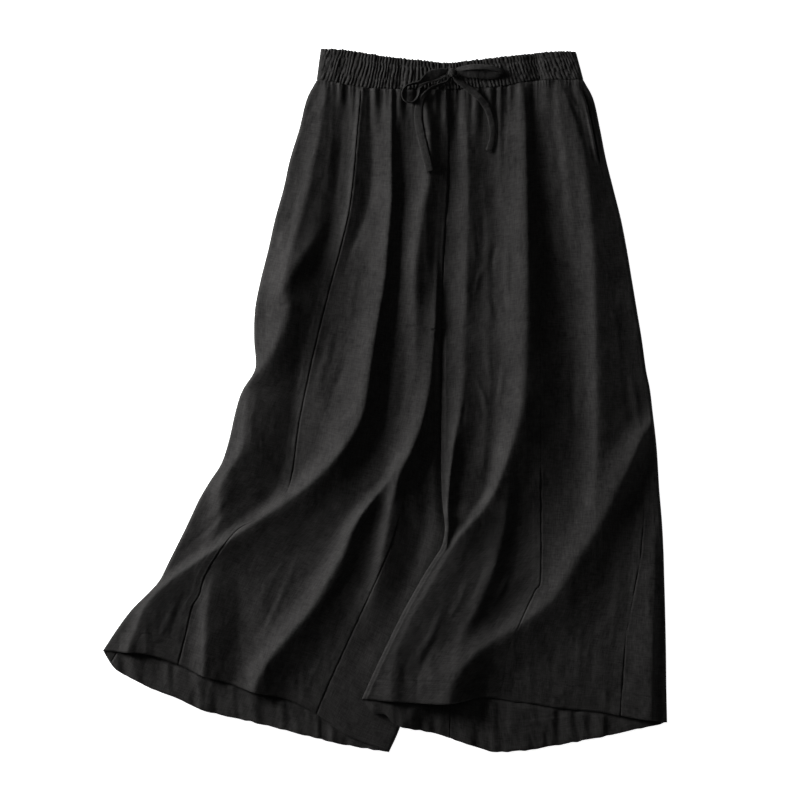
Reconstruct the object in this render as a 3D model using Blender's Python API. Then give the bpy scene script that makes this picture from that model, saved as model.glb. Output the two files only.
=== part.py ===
"""Wide-leg linen culottes with a drawstring waist, laid flat on their back.

+X points to the wearer's left, +Y to the waist and +Z up from the surface the culottes lie on.
The origin is the middle of their outline, on that surface. Tables are in millimetres, and each
length becomes metres where a mesh is made.

Each leg is a loop of cloth: a front layer, a rounded fold at its outer and inner edge, and a back
layer. The seams are lines along that loop, and each panel is the wall of cloth between two of them.
"""

import math

import bmesh
import bpy
import numpy as np

MM = 0.001

# Cloth and seams
WALL = 1.5
BAND_WALL = 2.5
SEAM_GAP = 0.3
WAIST_GAP = 0.5

# How the cloth lies: the height of its upper face where no fold lifts it, the depth of the
# rounded edges in plan, and how far the left leg is lifted where it lies on the right leg
REST_HEIGHT = 6.0
BAND_HEIGHT = 6.6
EDGE_DEPTH = 4.0
LEG_OVER_LEG = 7.7

# The waistband's casing and its gathers
BAND_DEPTH = 33.0
BAND_GATHERS = 54
BAND_GATHER_HEIGHT = 1.6
BAND_GATHER_SLANT = 0.55
COLUMNS_PER_GATHER = 3
BAND_ROWS = (1.0, 0.8, 0.5, 0.22, 0.0)
BAND_ROW_FULLNESS = (0.8, 0.5, 0.55, 1.0, 0.9)

# The left pocket, in the side seam: its mouth's upper and lower y, and the facing inside it
POCKET_MOUTH = (376.0, 280.0)
POCKET_GAP = 1.8
POCKET_FACING_WIDTH = 14.0
POCKET_LEVEL = 3.3
POCKET_WALL = 1.0
POCKET_ROWS = 9

# The drawstring, a narrow tube of the same linen tied in a bow
CORD_DIAMETER = 5.0
CORD_POINT_SPACING = 7.5
CORD_CLEARANCE = 0.5
KNOT_SIZE = (8.0, 7.0, 4.2)

# Lines from the waist to the hem: x, y. "Right" and "left" are the wearer's.
RIGHT_EDGE = [
    (-82, 384), (-94, 361), (-103, 325), (-114, 289), (-122, 253), (-132, 217), (-140, 181),
    (-149, 145), (-156, 109), (-157, 73), (-155, 49), (-157, 34), (-171, 12), (-179, -12),
    (-187, -47), (-196, -75), (-210, -97), (-223, -119), (-240, -155), (-258, -191),
    (-270, -215), (-283, -230), (-304, -251), (-322, -275), (-338.4, -300),
]
LEFT_EDGE = [
    (238, 384), (250, 361), (258, 325), (265, 289), (274, 253), (283, 217), (290, 181),
    (296, 145), (302, 109), (308, 73), (313, 37), (318, 12), (322, -23), (326, -59),
    (329, -107), (332, -143), (334, -180), (335, -215), (336, -251), (337, -300),
    (337.5, -345), (338.4, -386),
]
CENTRE_LINE = [(78, 372.7), (76, 265), (71, 181), (67.5, 85)]
RIGHT_INNER_FOLD = [
    (67.5, 85), (71, 0), (73, -95), (74, -173), (66, -240), (42, -323), (18, -392), (4.8, -421.8),
]
LEFT_INNER_FOLD = [
    (68.7, 85), (72.2, 0), (74.2, -95), (75.2, -174), (48, -205), (18, -263), (-12, -323),
    (-27.6, -357),
]
RIGHT_FRONT_SEAM = [
    (-28, 372.6), (-32, 325), (-40, 241), (-50, 193), (-66, 133), (-84, 61), (-102, -23),
    (-116, -107), (-148, -139), (-174, -153), (-192, -173), (-214, -208), (-222, -233),
    (-231, -249), (-240, -287), (-248, -317),
]
LEFT_FRONT_SEAM = [
    (184, 381), (182, 241), (186, 121), (187, 1), (187, -95), (187, -209), (180, -228),
    (162, -266), (148, -300), (138, -358),
]
RIGHT_INSEAM = [
    (61.5, 85), (57, 45), (44, -35), (18, -155), (-6, -203), (-30, -263), (-66, -335), (-78, -405),
]
LEFT_INSEAM = [(79, 85), (82, -95), (85, -174), (82, -240), (79, -323), (78, -405)]

# How far the left side seam lies inside the edge, on the front: y, distance
LEFT_SIDE_SEAM_INSET = [
    (384, 8), (280, 8), (120, 6), (-40, 7), (-107, 17), (-191, 28), (-239, 38), (-287, 48), (-386, 56),
]
RIGHT_SIDE_SEAM_INSET = 9.0

# Lines across the body: x, y
BAND_BOTTOM = [
    (-82, 384.6), (-64, 382), (-25, 375), (18, 373), (78, 372.8), (138, 376), (164, 381), (192, 384),
    (238, 384.6),
]
BAND_TOP = [
    (-77, 421.8), (-48, 420.5), (6, 412), (54, 407), (78, 405), (102, 408), (138, 412), (174, 416),
    (210, 419), (229, 418),
]
RIGHT_FRONT_HEM = [
    (-338.4, -300), (-312, -302), (-282, -305), (-248, -317), (-216, -331), (-188, -339),
    (-156, -350), (-126, -356), (-90, -371), (-50, -399), (-23, -411), (4.8, -421.8),
]
RIGHT_BACK_HEM = [
    (-338.4, -300), (-328, -317), (-316, -327), (-298, -337), (-270, -350), (-246, -359),
    (-214, -373), (-174, -382), (-126, -394), (-82, -405), (-48, -413), (4.8, -421.8),
]
LEFT_FRONT_HEM = [
    (-27.6, -357), (18, -361), (76, -363), (119, -356), (152, -361), (174, -363),
    (210, -369), (258, -374), (306, -382), (338.4, -386),
]
LEFT_BACK_HEM = [
    (-27.6, -357), (-17, -373), (0, -376), (16, -390), (54, -398), (78, -405), (114, -417),
    (138, -421.8), (186, -417), (258, -404), (338.4, -386),
]

# Folds of the front layer, along each crest: x, y, height, width of the left and right slope.
# The left slope rises slowly to a crisp crest, and the right one falls away from it.
RIGHT_FOLDS = {
    "hip": [
        (-65, 370, 3, 17, 12), (-77, 301, 6, 22, 17), (-86, 241, 8, 29, 26), (-96, 197, 11, 34, 36),
        (-104, 166, 12, 36, 43), (-121, 136, 12, 31, 50), (-122, 106, 12, 29, 53),
        (-132, 73, 10, 24, 48), (-151, 39, 7, 17, 41), (-167, 15, 1, 12, 31),
    ],
    "thigh": [
        (-148, 25, 1, 14, 22), (-154, -17, 5, 24, 26), (-160, -55, 7, 31, 29), (-179, -83, 7, 29, 31),
        (-196, -112, 6, 24, 31), (-216, -146, 4, 19, 26), (-236, -175, 1, 14, 22),
    ],
    "seam": [
        (-29, 370, 2, 14, 8), (-34, 325, 4, 19, 10), (-40, 253, 6, 24, 11), (-47, 207, 5, 24, 12),
        (-56, 166, 1, 19, 12),
    ],
    "long": [
        (4, 368, 3, 12, 10), (5, 313, 8, 22, 12), (4, 241, 12, 34, 13), (-1, 169, 15, 41, 14),
        (-8, 97, 16, 50, 16), (-20, 25, 17, 55, 20), (-36, -35, 18, 55, 29), (-60, -74, 18, 50, 34),
        (-102, -107, 17, 38, 34), (-148, -134, 16, 26, 31), (-192, -161, 15, 20, 29),
        (-234, -187, 14, 17, 26), (-263, -208, 12, 14, 24), (-282, -239, 9, 12, 29),
        (-289, -273, 7, 12, 31), (-299, -299, 5, 12, 29), (-306, -330, 4, 12, 29),
    ],
    "inner": [
        (31, 368, 3, 10, 10), (32, 313, 7, 13, 13), (32, 241, 9, 16, 19), (32, 169, 10, 18, 24),
        (38, 109, 12, 24, 19), (48, 61, 14, 31, 14), (48, 13, 15, 36, 16), (40, -29, 16, 38, 20),
        (22, -65, 16, 38, 29), (-8, -107, 16, 34, 29), (-40, -153, 16, 31, 26),
        (-72, -201, 15, 29, 24), (-102, -249, 14, 26, 29), (-128, -287, 13, 24, 31),
        (-148, -317, 12, 22, 34), (-158, -352, 10, 19, 34), (-164, -385, 9, 19, 34),
    ],
    "branch": [
        (18, -65, 2, 10, 10), (12, -101, 5, 14, 11), (6, -143, 5, 12, 11), (-1, -185, 3, 11, 10),
        (-10, -230, 1, 10, 10),
    ],
    "hem": [
        (-198, -177, 1, 19, 14), (-210, -227, 5, 22, 17), (-215, -263, 6, 22, 18),
        (-218, -299, 6, 22, 19), (-227, -326, 5, 19, 19), (-234, -355, 4, 19, 19),
    ],
    "under_left_leg": [
        (66, -125, 0.5, 24, 12), (64, -170, 1.2, 26, 12), (50, -198, 1.2, 26, 14),
        (28, -240, 1.2, 26, 14), (4, -288, 1.2, 26, 14), (-18, -330, 1, 26, 14),
    ],
}
LEFT_FOLDS = {
    "centre": [
        (92, 370, 3, 11, 11), (96, 313, 5, 14, 17), (98, 241, 6, 22, 26), (97, 169, 6, 24, 34),
        (97, 97, 6, 25, 34), (100, 37, 5, 25, 29), (107, -11, 3, 22, 19), (116, -47, 1, 17, 17),
    ],
    "long": [
        (142, 368, 3, 12, 11), (155, 325, 7, 26, 11), (164, 265, 12, 38, 11), (168, 193, 16, 55, 13),
        (169, 121, 18, 70, 14), (170, 61, 19, 70, 17), (170, 13, 20, 65, 22), (163, -23, 20, 60, 26),
        (152, -57, 20, 53, 29), (137, -91, 20, 43, 29), (119, -119, 19, 31, 29),
        (100, -146, 17, 22, 31), (82, -175, 13, 17, 36), (62, -208, 11, 17, 41),
        (44, -242, 10, 17, 43), (23, -287, 9, 17, 46), (1, -331, 8, 14, 46), (-11, -359, 7, 12, 43),
        (-22, -390, 6, 12, 43),
    ],
    "knee": [
        (148, -110, 1, 19, 12), (142, -155, 4, 26, 17), (131, -199, 6, 29, 19),
        (114, -239, 6, 29, 22), (95, -283, 5, 29, 22), (78, -321, 3, 24, 22),
    ],
    "hip": [
        (217, 368, 3, 26, 14), (229, 325, 6, 34, 19), (239, 253, 9, 41, 24), (246, 181, 11, 46, 26),
        (251, 97, 12, 48, 29), (256, 1, 12, 50, 31), (258, -59, 11, 48, 29), (256, -107, 8, 43, 26),
        (248, -143, 3, 36, 24),
    ],
    "hem": [
        (324, -29, 2, 12, 7), (312, -65, 7, 22, 12), (296, -93, 10, 31, 17), (278, -119, 12, 41, 24),
        (262, -153, 14, 48, 29), (240, -191, 15, 50, 31), (220, -227, 16, 46, 31),
        (196, -254, 16, 41, 31), (164, -273, 16, 36, 31), (138, -290, 16, 34, 31),
        (116, -309, 15, 29, 31), (97, -333, 13, 24, 31), (82, -364, 11, 22, 29), (72, -395, 10, 22, 29),
    ],
}
# Short gathers below the waistband: x at the band, length, height, half width
GATHERS = [
    (-71, 45, 2.0, 7), (-53, 42, 2.5, 7), (-12, 70, 3.0, 8), (18, 60, 3.0, 7), (47, 50, 2.5, 7),
    (61, 42, 2.5, 6), (73, 75, 2.5, 6), (85, 40, 2.5, 6), (110, 85, 3.5, 9), (126, 55, 2.5, 8),
    (196, 50, 2.5, 8), (209, 42, 2.5, 7), (230, 45, 2.5, 7),
]
FOLD_POWER = 1.8
FOLD_CREST = 0.18

# The bow: x, y and height above the cloth below it
KNOT_CENTRE = (80.5, 393.0)
RIGHT_LOOP = [
    (72.6, 395.6, 1), (61, 398, 3), (51, 393.5, 4), (43, 383, 3), (29, 377, 1), (22, 369, 0),
    (22, 360, 0), (30, 357, 0), (37.5, 362, 0), (42.5, 371, 1), (53, 381.5, 1), (64, 386, 1),
    (72.9, 390, 1),
]
LEFT_LOOP = [
    (88.1, 396.4, 1), (100, 399, 3), (116, 400, 3), (132, 398, 1), (140, 394, 0), (139, 388, 0),
    (130, 385, 0), (116, 386, 0), (102, 387, 1), (88.2, 390, 1),
]
RIGHT_TAIL = [
    (77.4, 385, 0), (73.5, 381.3, 0), (66, 377.8, 0), (56, 371.5, 0), (49.5, 364, 0), (46, 354, 0),
    (45, 340, 0), (46.5, 324.5, 0), (51.5, 300.5, 0), (56.5, 274, 0),
]
LEFT_TAIL = [
    (83.8, 385, 0), (87.5, 381.6, 0), (94, 377.5, 0), (103, 371, 0), (114, 362, 0), (123, 349, 0),
    (128.5, 330, 0), (129.5, 315, 0), (126, 304, 0), (124.5, 299.5, 0),
]

# Mesh spacing: the distance between rows by how far down the garment they lie, and the columns
# across each stretch of cloth
ROW_SPACING = [(0.0, 12), (0.06, 18), (0.15, 34), (0.42, 32), (0.52, 22), (0.92, 22), (1.0, 14)]
GARMENT_LENGTH = 760.0
CROTCH = 0.365
CROTCH_NOTCH = 0.002
RIGHT_SIDE_COLUMNS = 10
RIGHT_CENTRE_COLUMNS = 18
LEFT_CENTRE_COLUMNS = 17
LEFT_SIDE_COLUMNS = 14
BACK_COLUMNS = 7
INNER_WRAP_COLUMNS = 4
EDGE_WRAP_COLUMNS = 1
BEND_ANGLES = (52, 0, -52)
STEEP_DRAW = 3.0
FINE_PLACES = 160
MOST_UPRIGHT = 1.5

LINEN_COLOUR = (0.013, 0.012, 0.012, 1.0)
LINEN_ROUGHNESS = 0.82


class Cloth:
    """A run of cloth: a point and an outward normal for each row, waist to hem, and each column."""

    def __init__(self, points, normals, first_row=0):
        self.points = points
        self.normals = normals
        self.first_row = first_row


def curve(points, steps=8):
    """Points on a smooth curve through the given ones, with every column carried along."""
    rows = np.array(points, float)
    ends = np.vstack([2 * rows[0] - rows[1], rows, 2 * rows[-1] - rows[-2]])
    found = []
    for a, b, c, d in zip(ends, ends[1:], ends[2:], ends[3:]):
        for t in np.arange(steps) / steps:
            turn = (2 * a - 5 * b + 4 * c - d) * t * t + (3 * b - 3 * c + d - a) * t**3
            found.append(b + 0.5 * ((c - a) * t + turn))
    return np.vstack(found + [rows[-1]])


def along(points, fractions):
    """Points at the given fractions of a smooth curve's length."""
    line = curve(points)
    length = np.append(0, np.cumsum(np.hypot(*np.diff(line[:, :2], axis=0).T)))
    at = np.asarray(fractions) * length[-1]
    return np.column_stack([np.interp(at, length, column) for column in line.T])


def across(points, x):
    """The y of a line that runs across the body, at each x."""
    line = curve(points)
    return np.interp(x, line[:, 0], line[:, 1])


def smooth_step(t):
    t = np.clip(t, 0, 1)
    return t * t * (3 - 2 * t)


def row_stations():
    """How far down the garment each row of the mesh lies, from 0 to 1, with two at the crotch."""
    down, spacing = np.array(ROW_SPACING).T
    stations = [0.0]
    while stations[-1] < 1:
        stations.append(stations[-1] + np.interp(stations[-1], down, spacing) / GARMENT_LENGTH)
    stations = np.array(stations) / stations[-1]
    stations[np.abs(stations - CROTCH).argmin()] = CROTCH
    return np.sort(np.append(stations, CROTCH - CROTCH_NOTCH))


ROWS = row_stations()
CROTCH_ROW = int(np.searchsorted(ROWS, CROTCH))


def fold_height(rows, x, y):
    """How much one fold lifts the cloth at each point."""
    line = curve(rows)
    nearest = np.full(x.shape, np.inf)
    height = np.zeros(x.shape)
    distance = np.full(x.shape, np.inf)
    left = np.zeros(x.shape, bool)
    for start, end in zip(line[:-1], line[1:]):
        dx, dy = end[:2] - start[:2]
        t = np.clip(((x - start[0]) * dx + (y - start[1]) * dy) / (dx * dx + dy * dy), 0, 1)
        away = np.hypot(x - start[0] - t * dx, y - start[1] - t * dy)
        closer = away < nearest
        on_left = dx * (y - start[1]) - dy * (x - start[0]) < 0
        side = np.where(on_left, 3, 4)
        width = start[side] + t * (end[side] - start[side])
        nearest = np.where(closer, away, nearest)
        left = np.where(closer, on_left, left)
        distance = np.where(closer, away / width, distance)
        height = np.where(closer, start[2] + t * (end[2] - start[2]), height)
    distance = np.clip(distance, 0, 1)
    rounded = np.hypot(distance, FOLD_CREST) - FOLD_CREST
    slow = (1 - np.clip(rounded, 0, 1)) ** FOLD_POWER
    steep = 0.5 + 0.5 * np.cos(math.pi * distance)
    return height * np.where(distance < 1, np.where(left, slow, steep), 0)


def gather_height(x, y):
    """The short gathers, which fade out below the waistband."""
    below = across(BAND_BOTTOM, x) - y
    total = np.zeros(x.shape)
    for middle, length, height, half_width in GATHERS:
        near = np.clip(np.abs(x - middle) / half_width, 0, 1)
        total += height * (1 - smooth_step(below / length)) * (0.5 + 0.5 * np.cos(math.pi * near))
    return total


def lift(x, y):
    """How high the left leg's back layer is held where it lies on the right leg."""
    fold = curve(RIGHT_INNER_FOLD)
    inner_edge = np.interp(-y, -fold[:, 1], fold[:, 0])
    over = 1 - smooth_step((x - inner_edge - 3) / 26)
    below = smooth_step((-150 - y) / 22)
    return LEG_OVER_LEG * over * below


def floor_level(x, y):
    return np.zeros(x.shape)


def right_front_height(x, y):
    folds = sum(fold_height(rows, x, y) for rows in RIGHT_FOLDS.values())
    return REST_HEIGHT + gather_height(x, y) + folds


def left_front_height(x, y):
    folds = sum(fold_height(rows, x, y) for rows in LEFT_FOLDS.values())
    return REST_HEIGHT + lift(x, y) + gather_height(x, y) + folds


def upward_normals(height, x, y, reach=1.0):
    east = (height(x + reach, y) - height(x - reach, y)) / (2 * reach)
    north = (height(x, y + reach) - height(x, y - reach)) / (2 * reach)
    normals = np.stack([-east, -north, np.ones(x.shape)], axis=-1)
    return normals / np.linalg.norm(normals, axis=-1, keepdims=True)


def row_plan(start, end, places, hem):
    """x and y across each row. Rows are straight, but bow with the waist and the hem near them."""
    plan = start[:, None] + (end - start)[:, None] * places[..., None]
    waist = start[0] + (end[0] - start[0]) * places[..., None]
    foot = start[-1] + (end[-1] - start[-1]) * places[..., None]
    to_waist = across(BAND_BOTTOM, waist[..., 0]) - WAIST_GAP - waist[..., 1]
    to_hem = across(hem, foot[..., 0]) - foot[..., 1]
    plan[..., 1] += to_waist * (1 - ROWS[:, None]) ** 5 + to_hem * ROWS[:, None] ** 4
    return plan


def stretch(start, end, height, outward, hem, columns, first_row=0):
    """The cloth of one layer between two lines, with its columns closer where it is steep.

    At the lines themselves the wall's edge is upright, so that two panels keep their gap.
    """
    fine = np.tile(np.linspace(0, 1, FINE_PLACES), (len(ROWS), 1))
    plan = row_plan(start, end, fine, hem)
    rise = np.diff(height(plan[..., 0], plan[..., 1]), axis=1)
    draw = np.hypot(np.linalg.norm(np.diff(plan, axis=1), axis=2), STEEP_DRAW * rise)
    run = np.hstack([np.zeros((len(ROWS), 1)), np.cumsum(draw, axis=1)])
    even = np.linspace(0, 1, columns + 1)
    drawn = np.array([np.interp(even * total[-1], total, place) for total, place in zip(run, fine)])
    padded = np.vstack([drawn[:1], drawn, drawn[-1:]])
    places = 0.25 * padded[:-2] + 0.5 * padded[1:-1] + 0.25 * padded[2:]
    x, y = np.moveaxis(row_plan(start, end, places, hem), -1, 0)
    points = np.stack([x, y, height(x, y)], axis=-1)
    normals = upward_normals(height, x, y)
    for seam in (0, -1):
        upright = np.minimum(1 / normals[:, seam, 2], MOST_UPRIGHT)
        normals[:, seam] = upright[:, None] * (0.0, 0.0, 1.0)
    return Cloth(points, outward * normals, first_row)


def bend(edge, before, after, first_row=0):
    """The rounded fold at an edge, between the last column of one layer and the first of the next."""
    start, end = before.points[:, -1], after.points[:, 0]
    middle, rise = 0.5 * (start[:, 2] + end[:, 2]), 0.5 * (start[:, 2] - end[:, 2])
    points, normals = [], []
    for angle in BEND_ANGLES:
        sine, cosine = math.sin(math.radians(angle)), math.cos(math.radians(angle))
        inward = (start if angle > 0 else end)[:, :2] - edge
        depth = np.linalg.norm(inward, axis=1)
        points.append(np.column_stack([edge + inward * (1 - cosine), middle + rise * sine]))
        outward = -inward / depth[:, None] * (cosine * np.abs(rise))[:, None]
        normal = np.column_stack([outward, sine * np.sign(rise) * depth])
        normals.append(normal / np.linalg.norm(normal, axis=1, keepdims=True))
    return Cloth(np.stack(points, axis=1), np.stack(normals, axis=1), first_row)


def linen(name, roughness=LINEN_ROUGHNESS):
    material = bpy.data.materials.new(name)
    material.use_nodes = True
    shader = material.node_tree.nodes["Principled BSDF"]
    shader.inputs["Base Color"].default_value = LINEN_COLOUR
    shader.inputs["Roughness"].default_value = roughness
    shader.inputs["Metallic"].default_value = 0.0
    material.diffuse_color = LINEN_COLOUR
    return material


def add_piece(name, mesh, collection):
    """Puts a finished mesh or curve in the garment's collection, with its own material."""
    piece = bpy.data.objects.new(name, mesh)
    mesh.materials.append(linen(name + "_linen"))
    collection.objects.link(piece)
    return piece


def split_along_crests(sheet):
    """Divides each face into two triangles that meet on its higher diagonal."""
    for face in sheet.faces[:]:
        a, b, c, d = face.verts
        crest = (a, c) if a.co.z + c.co.z > b.co.z + d.co.z else (b, d)
        bmesh.utils.face_split(face, *crest)


def wall(name, runs, collection, thickness=WALL, raised=None):
    """Sews runs of cloth side by side into one panel, and extrudes it inwards to its thickness."""
    points = np.concatenate([run.points for run in runs], axis=1)
    inner = points - thickness * np.concatenate([run.normals for run in runs], axis=1)
    first_row = np.concatenate([np.full(run.points.shape[1], run.first_row) for run in runs])
    if raised is not None:
        points = points + raised
    row_count, column_count = points.shape[:2]
    sheet = bmesh.new()
    bmesh.ops.create_grid(sheet, x_segments=column_count - 1, y_segments=row_count - 1, size=0.5)
    row_of = sheet.verts.layers.int.new("row")
    column_of = sheet.verts.layers.int.new("column")
    for vert in sheet.verts:
        vert[row_of] = round((0.5 - vert.co.y) * (row_count - 1))
        vert[column_of] = round((vert.co.x + 0.5) * (column_count - 1))
    unused = [vert for vert in sheet.verts if vert[row_of] < first_row[vert[column_of]]]
    bmesh.ops.delete(sheet, geom=unused, context="VERTS")
    for vert in sheet.verts:
        vert.co = points[vert[row_of], vert[column_of]] * MM
    split_along_crests(sheet)
    extruded = bmesh.ops.extrude_face_region(sheet, geom=sheet.faces[:], use_keep_orig=True)
    for vert in extruded["geom"]:
        if isinstance(vert, bmesh.types.BMVert):
            vert.co = inner[vert[row_of], vert[column_of]] * MM
    bmesh.ops.recalc_face_normals(sheet, faces=sheet.faces[:])
    mesh = bpy.data.meshes.new(name)
    sheet.to_mesh(mesh)
    sheet.free()
    mesh.shade_smooth()
    mesh.set_sharp_from_angle(angle=math.radians(50))
    return add_piece(name, mesh, collection)


def moved(line, distance):
    """A line from waist to hem, moved sideways."""
    return line + np.column_stack([np.broadcast_to(distance, len(line)), np.zeros(len(line))])


def waist_to_hem(upper, lower):
    """Points for each row on a line in two parts that meet at the crotch."""
    above = along(upper, ROWS / CROTCH)
    below = along(lower, (ROWS - CROTCH) / (1 - CROTCH))
    return np.where((ROWS < CROTCH)[:, None], above, below)


def right_leg(collection):
    """The wearer's right half: two front panels, and a back that wraps the inner edge to the front."""
    gap = SEAM_GAP / 2
    edge = along(RIGHT_EDGE, ROWS)
    side_seam = moved(edge, RIGHT_SIDE_SEAM_INSET)
    front_seam = along(RIGHT_FRONT_SEAM, ROWS)
    inner_fold = waist_to_hem(CENTRE_LINE, RIGHT_INNER_FOLD)
    inseam = waist_to_hem(CENTRE_LINE, RIGHT_INSEAM)
    front = (right_front_height, 1, RIGHT_FRONT_HEM)
    back = (floor_level, -1, RIGHT_BACK_HEM)
    tucked = stretch(moved(side_seam, -gap), moved(edge, EDGE_DEPTH), *back, EDGE_WRAP_COLUMNS)
    side = stretch(moved(edge, EDGE_DEPTH), moved(front_seam, -gap), *front, RIGHT_SIDE_COLUMNS)
    wall("right_front_side", [tucked, bend(edge, tucked, side), side], collection)
    centre = stretch(moved(front_seam, gap), moved(inseam, -gap), *front, RIGHT_CENTRE_COLUMNS)
    wall("right_front_centre", [centre], collection)
    inner_edge = moved(inner_fold, -EDGE_DEPTH)
    wrap = stretch(moved(inseam, gap), inner_edge, *front, INNER_WRAP_COLUMNS, CROTCH_ROW)
    seat_seam = np.where((ROWS < CROTCH)[:, None], moved(inner_fold, -gap), inner_edge)
    seat = stretch(seat_seam, moved(side_seam, gap), *back, BACK_COLUMNS)
    wall("right_back", [wrap, bend(inner_fold, wrap, seat, CROTCH_ROW), seat], collection)


def left_side_seam(edge):
    inset = np.array(LEFT_SIDE_SEAM_INSET, float)
    return moved(edge, -np.interp(-edge[:, 1], -inset[:, 0], inset[:, 1]))


def pocket_gap(y):
    """How far the left front's edge stands back from the side seam at the pocket's mouth."""
    top, bottom = POCKET_MOUTH
    return POCKET_GAP * smooth_step((top - y) / 12) * smooth_step((y - bottom) / 12)


def left_leg(collection):
    """The wearer's left half, whose inner edge lies on the right leg and folds to the back."""
    gap = SEAM_GAP / 2
    edge = along(LEFT_EDGE, ROWS)
    side_seam = left_side_seam(edge)
    front_seam = along(LEFT_FRONT_SEAM, ROWS)
    inner_fold = waist_to_hem(CENTRE_LINE, LEFT_INNER_FOLD)
    inseam = waist_to_hem(CENTRE_LINE, LEFT_INSEAM)
    front = (left_front_height, 1, LEFT_FRONT_HEM)
    back = (lift, -1, LEFT_BACK_HEM)
    inner_edge = moved(inner_fold, EDGE_DEPTH)
    wrap = stretch(moved(inseam, -gap), inner_edge, *back, INNER_WRAP_COLUMNS, CROTCH_ROW)
    centre_front = np.where((ROWS < CROTCH)[:, None], moved(inner_fold, gap), inner_edge)
    centre = stretch(centre_front, moved(front_seam, -gap), *front, LEFT_CENTRE_COLUMNS)
    wall("left_front_centre", [wrap, bend(inner_fold, wrap, centre, CROTCH_ROW), centre], collection)
    side_edge = moved(side_seam, -gap - pocket_gap(side_seam[:, 1]))
    side = stretch(moved(front_seam, gap), side_edge, *front, LEFT_SIDE_COLUMNS)
    wall("left_front_side", [side], collection)
    turned = stretch(moved(side_seam, gap), moved(edge, -EDGE_DEPTH), *front, EDGE_WRAP_COLUMNS)
    seat = stretch(moved(edge, -EDGE_DEPTH), moved(inseam, gap), *back, BACK_COLUMNS)
    wall("left_back", [turned, bend(edge, turned, seat), seat], collection)


def pocket_facing(collection):
    """The strip inside the left pocket's mouth, between the front and back layers."""
    down = np.linspace(POCKET_MOUTH[0], POCKET_MOUTH[1], POCKET_ROWS)
    line = curve(LEFT_EDGE)
    edge = np.column_stack([np.interp(-down, -line[:, 1], line[:, 0]), down])
    seam = left_side_seam(edge)
    runs = [moved(seam, step) for step in np.linspace(-POCKET_FACING_WIDTH, 1, 4)]
    level = np.full(len(down), POCKET_LEVEL)
    points = np.stack([np.column_stack([run, level]) for run in runs], axis=1)
    normals = np.broadcast_to((0.0, 0.0, 1.0), points.shape)
    wall("left_pocket_facing", [Cloth(points, normals)], collection, POCKET_WALL)


def band_plan(places, up):
    """x and y on the waistband, by place across it and up it."""
    low = BAND_BOTTOM[0][0] + (BAND_BOTTOM[-1][0] - BAND_BOTTOM[0][0]) * places
    high = BAND_TOP[0][0] + (BAND_TOP[-1][0] - BAND_TOP[0][0]) * places
    bottom = np.stack([low, across(BAND_BOTTOM, low)], axis=-1)
    top = np.stack([high, across(BAND_TOP, high)], axis=-1)
    return bottom + (top - bottom) * up[..., None]


def band_run(places, height, outward):
    """A flat run of the waistband, from its top row to its bottom row."""
    up = np.array(BAND_ROWS)[:, None]
    plan = band_plan(*np.broadcast_arrays(places[None], up))
    points = np.dstack([plan, np.full(plan.shape[:2], height)])
    return Cloth(points, np.broadcast_to((0.0, 0.0, float(outward)), points.shape))


def waistband(collection):
    """An elastic casing, gathered evenly and stitched through in two rows."""
    up = np.array(BAND_ROWS)
    inset = EDGE_DEPTH / (BAND_BOTTOM[-1][0] - BAND_BOTTOM[0][0])
    tuck = 2.2 * inset
    count = BAND_GATHERS * COLUMNS_PER_GATHER
    places = np.linspace(inset, 1 - inset, count + 1)
    front = band_run(places, BAND_HEIGHT, 1)
    right_tuck = band_run(np.linspace(tuck, inset, 3), 0, -1)
    left_tuck = band_run(np.linspace(1 - inset, 1 - tuck, 3), 0, -1)
    ends = [band_plan(np.full(len(up), place), up) for place in (0.0, 1.0)]
    right_bend, left_bend = bend(ends[0], right_tuck, front), bend(ends[1], front, left_tuck)
    runs = [right_tuck, right_bend, front, left_bend, left_tuck]
    phase = (np.arange(count + 1) / COLUMNS_PER_GATHER)[None] - BAND_GATHER_SLANT * up[:, None]
    wave = 0.5 - 0.5 * np.cos(2 * math.pi * phase)
    wave *= np.array(BAND_ROW_FULLNESS)[:, None] * smooth_step(np.minimum(places, 1 - places) * 40)
    raised = np.zeros((len(up), sum(run.points.shape[1] for run in runs), 3))
    first = right_tuck.points.shape[1] + len(BEND_ANGLES)
    raised[:, first : first + count + 1, 2] = BAND_GATHER_HEIGHT * wave
    wall("waistband_front", runs, collection, BAND_WALL, raised)
    seat = band_run(np.linspace(1 - tuck - 0.001, tuck + 0.001, 13), 0, -1)
    wall("waistband_back", [seat], collection, BAND_WALL)


def resting_level(x, y):
    """The height of the garment's upper face below the bow."""
    body = np.where(x < CENTRE_LINE[0][0], right_front_height(x, y), left_front_height(x, y))
    band = BAND_HEIGHT + BAND_GATHER_HEIGHT
    return np.where(y > across(BAND_BOTTOM, x) - 2, np.maximum(band, body), body)


def drawstring_route(table):
    """Points along one end or loop of the drawstring, lying on the cloth below it."""
    length = np.hypot(*np.diff(curve(table)[:, :2], axis=0).T).sum()
    count = round(length / CORD_POINT_SPACING)
    x, y, above = along(table, np.linspace(0, 1, count + 1)).T
    reach = CORD_DIAMETER * 0.6
    around = [(0, 0), (reach, 0), (-reach, 0), (0, reach), (0, -reach)]
    level = np.max([resting_level(x + dx, y + dy) for dx, dy in around], axis=0)
    level[1:-1] = np.maximum(level[1:-1], 0.5 * (level[:-2] + level[2:]))
    return np.column_stack([x, y, level + CORD_DIAMETER / 2 + CORD_CLEARANCE + above])


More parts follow.
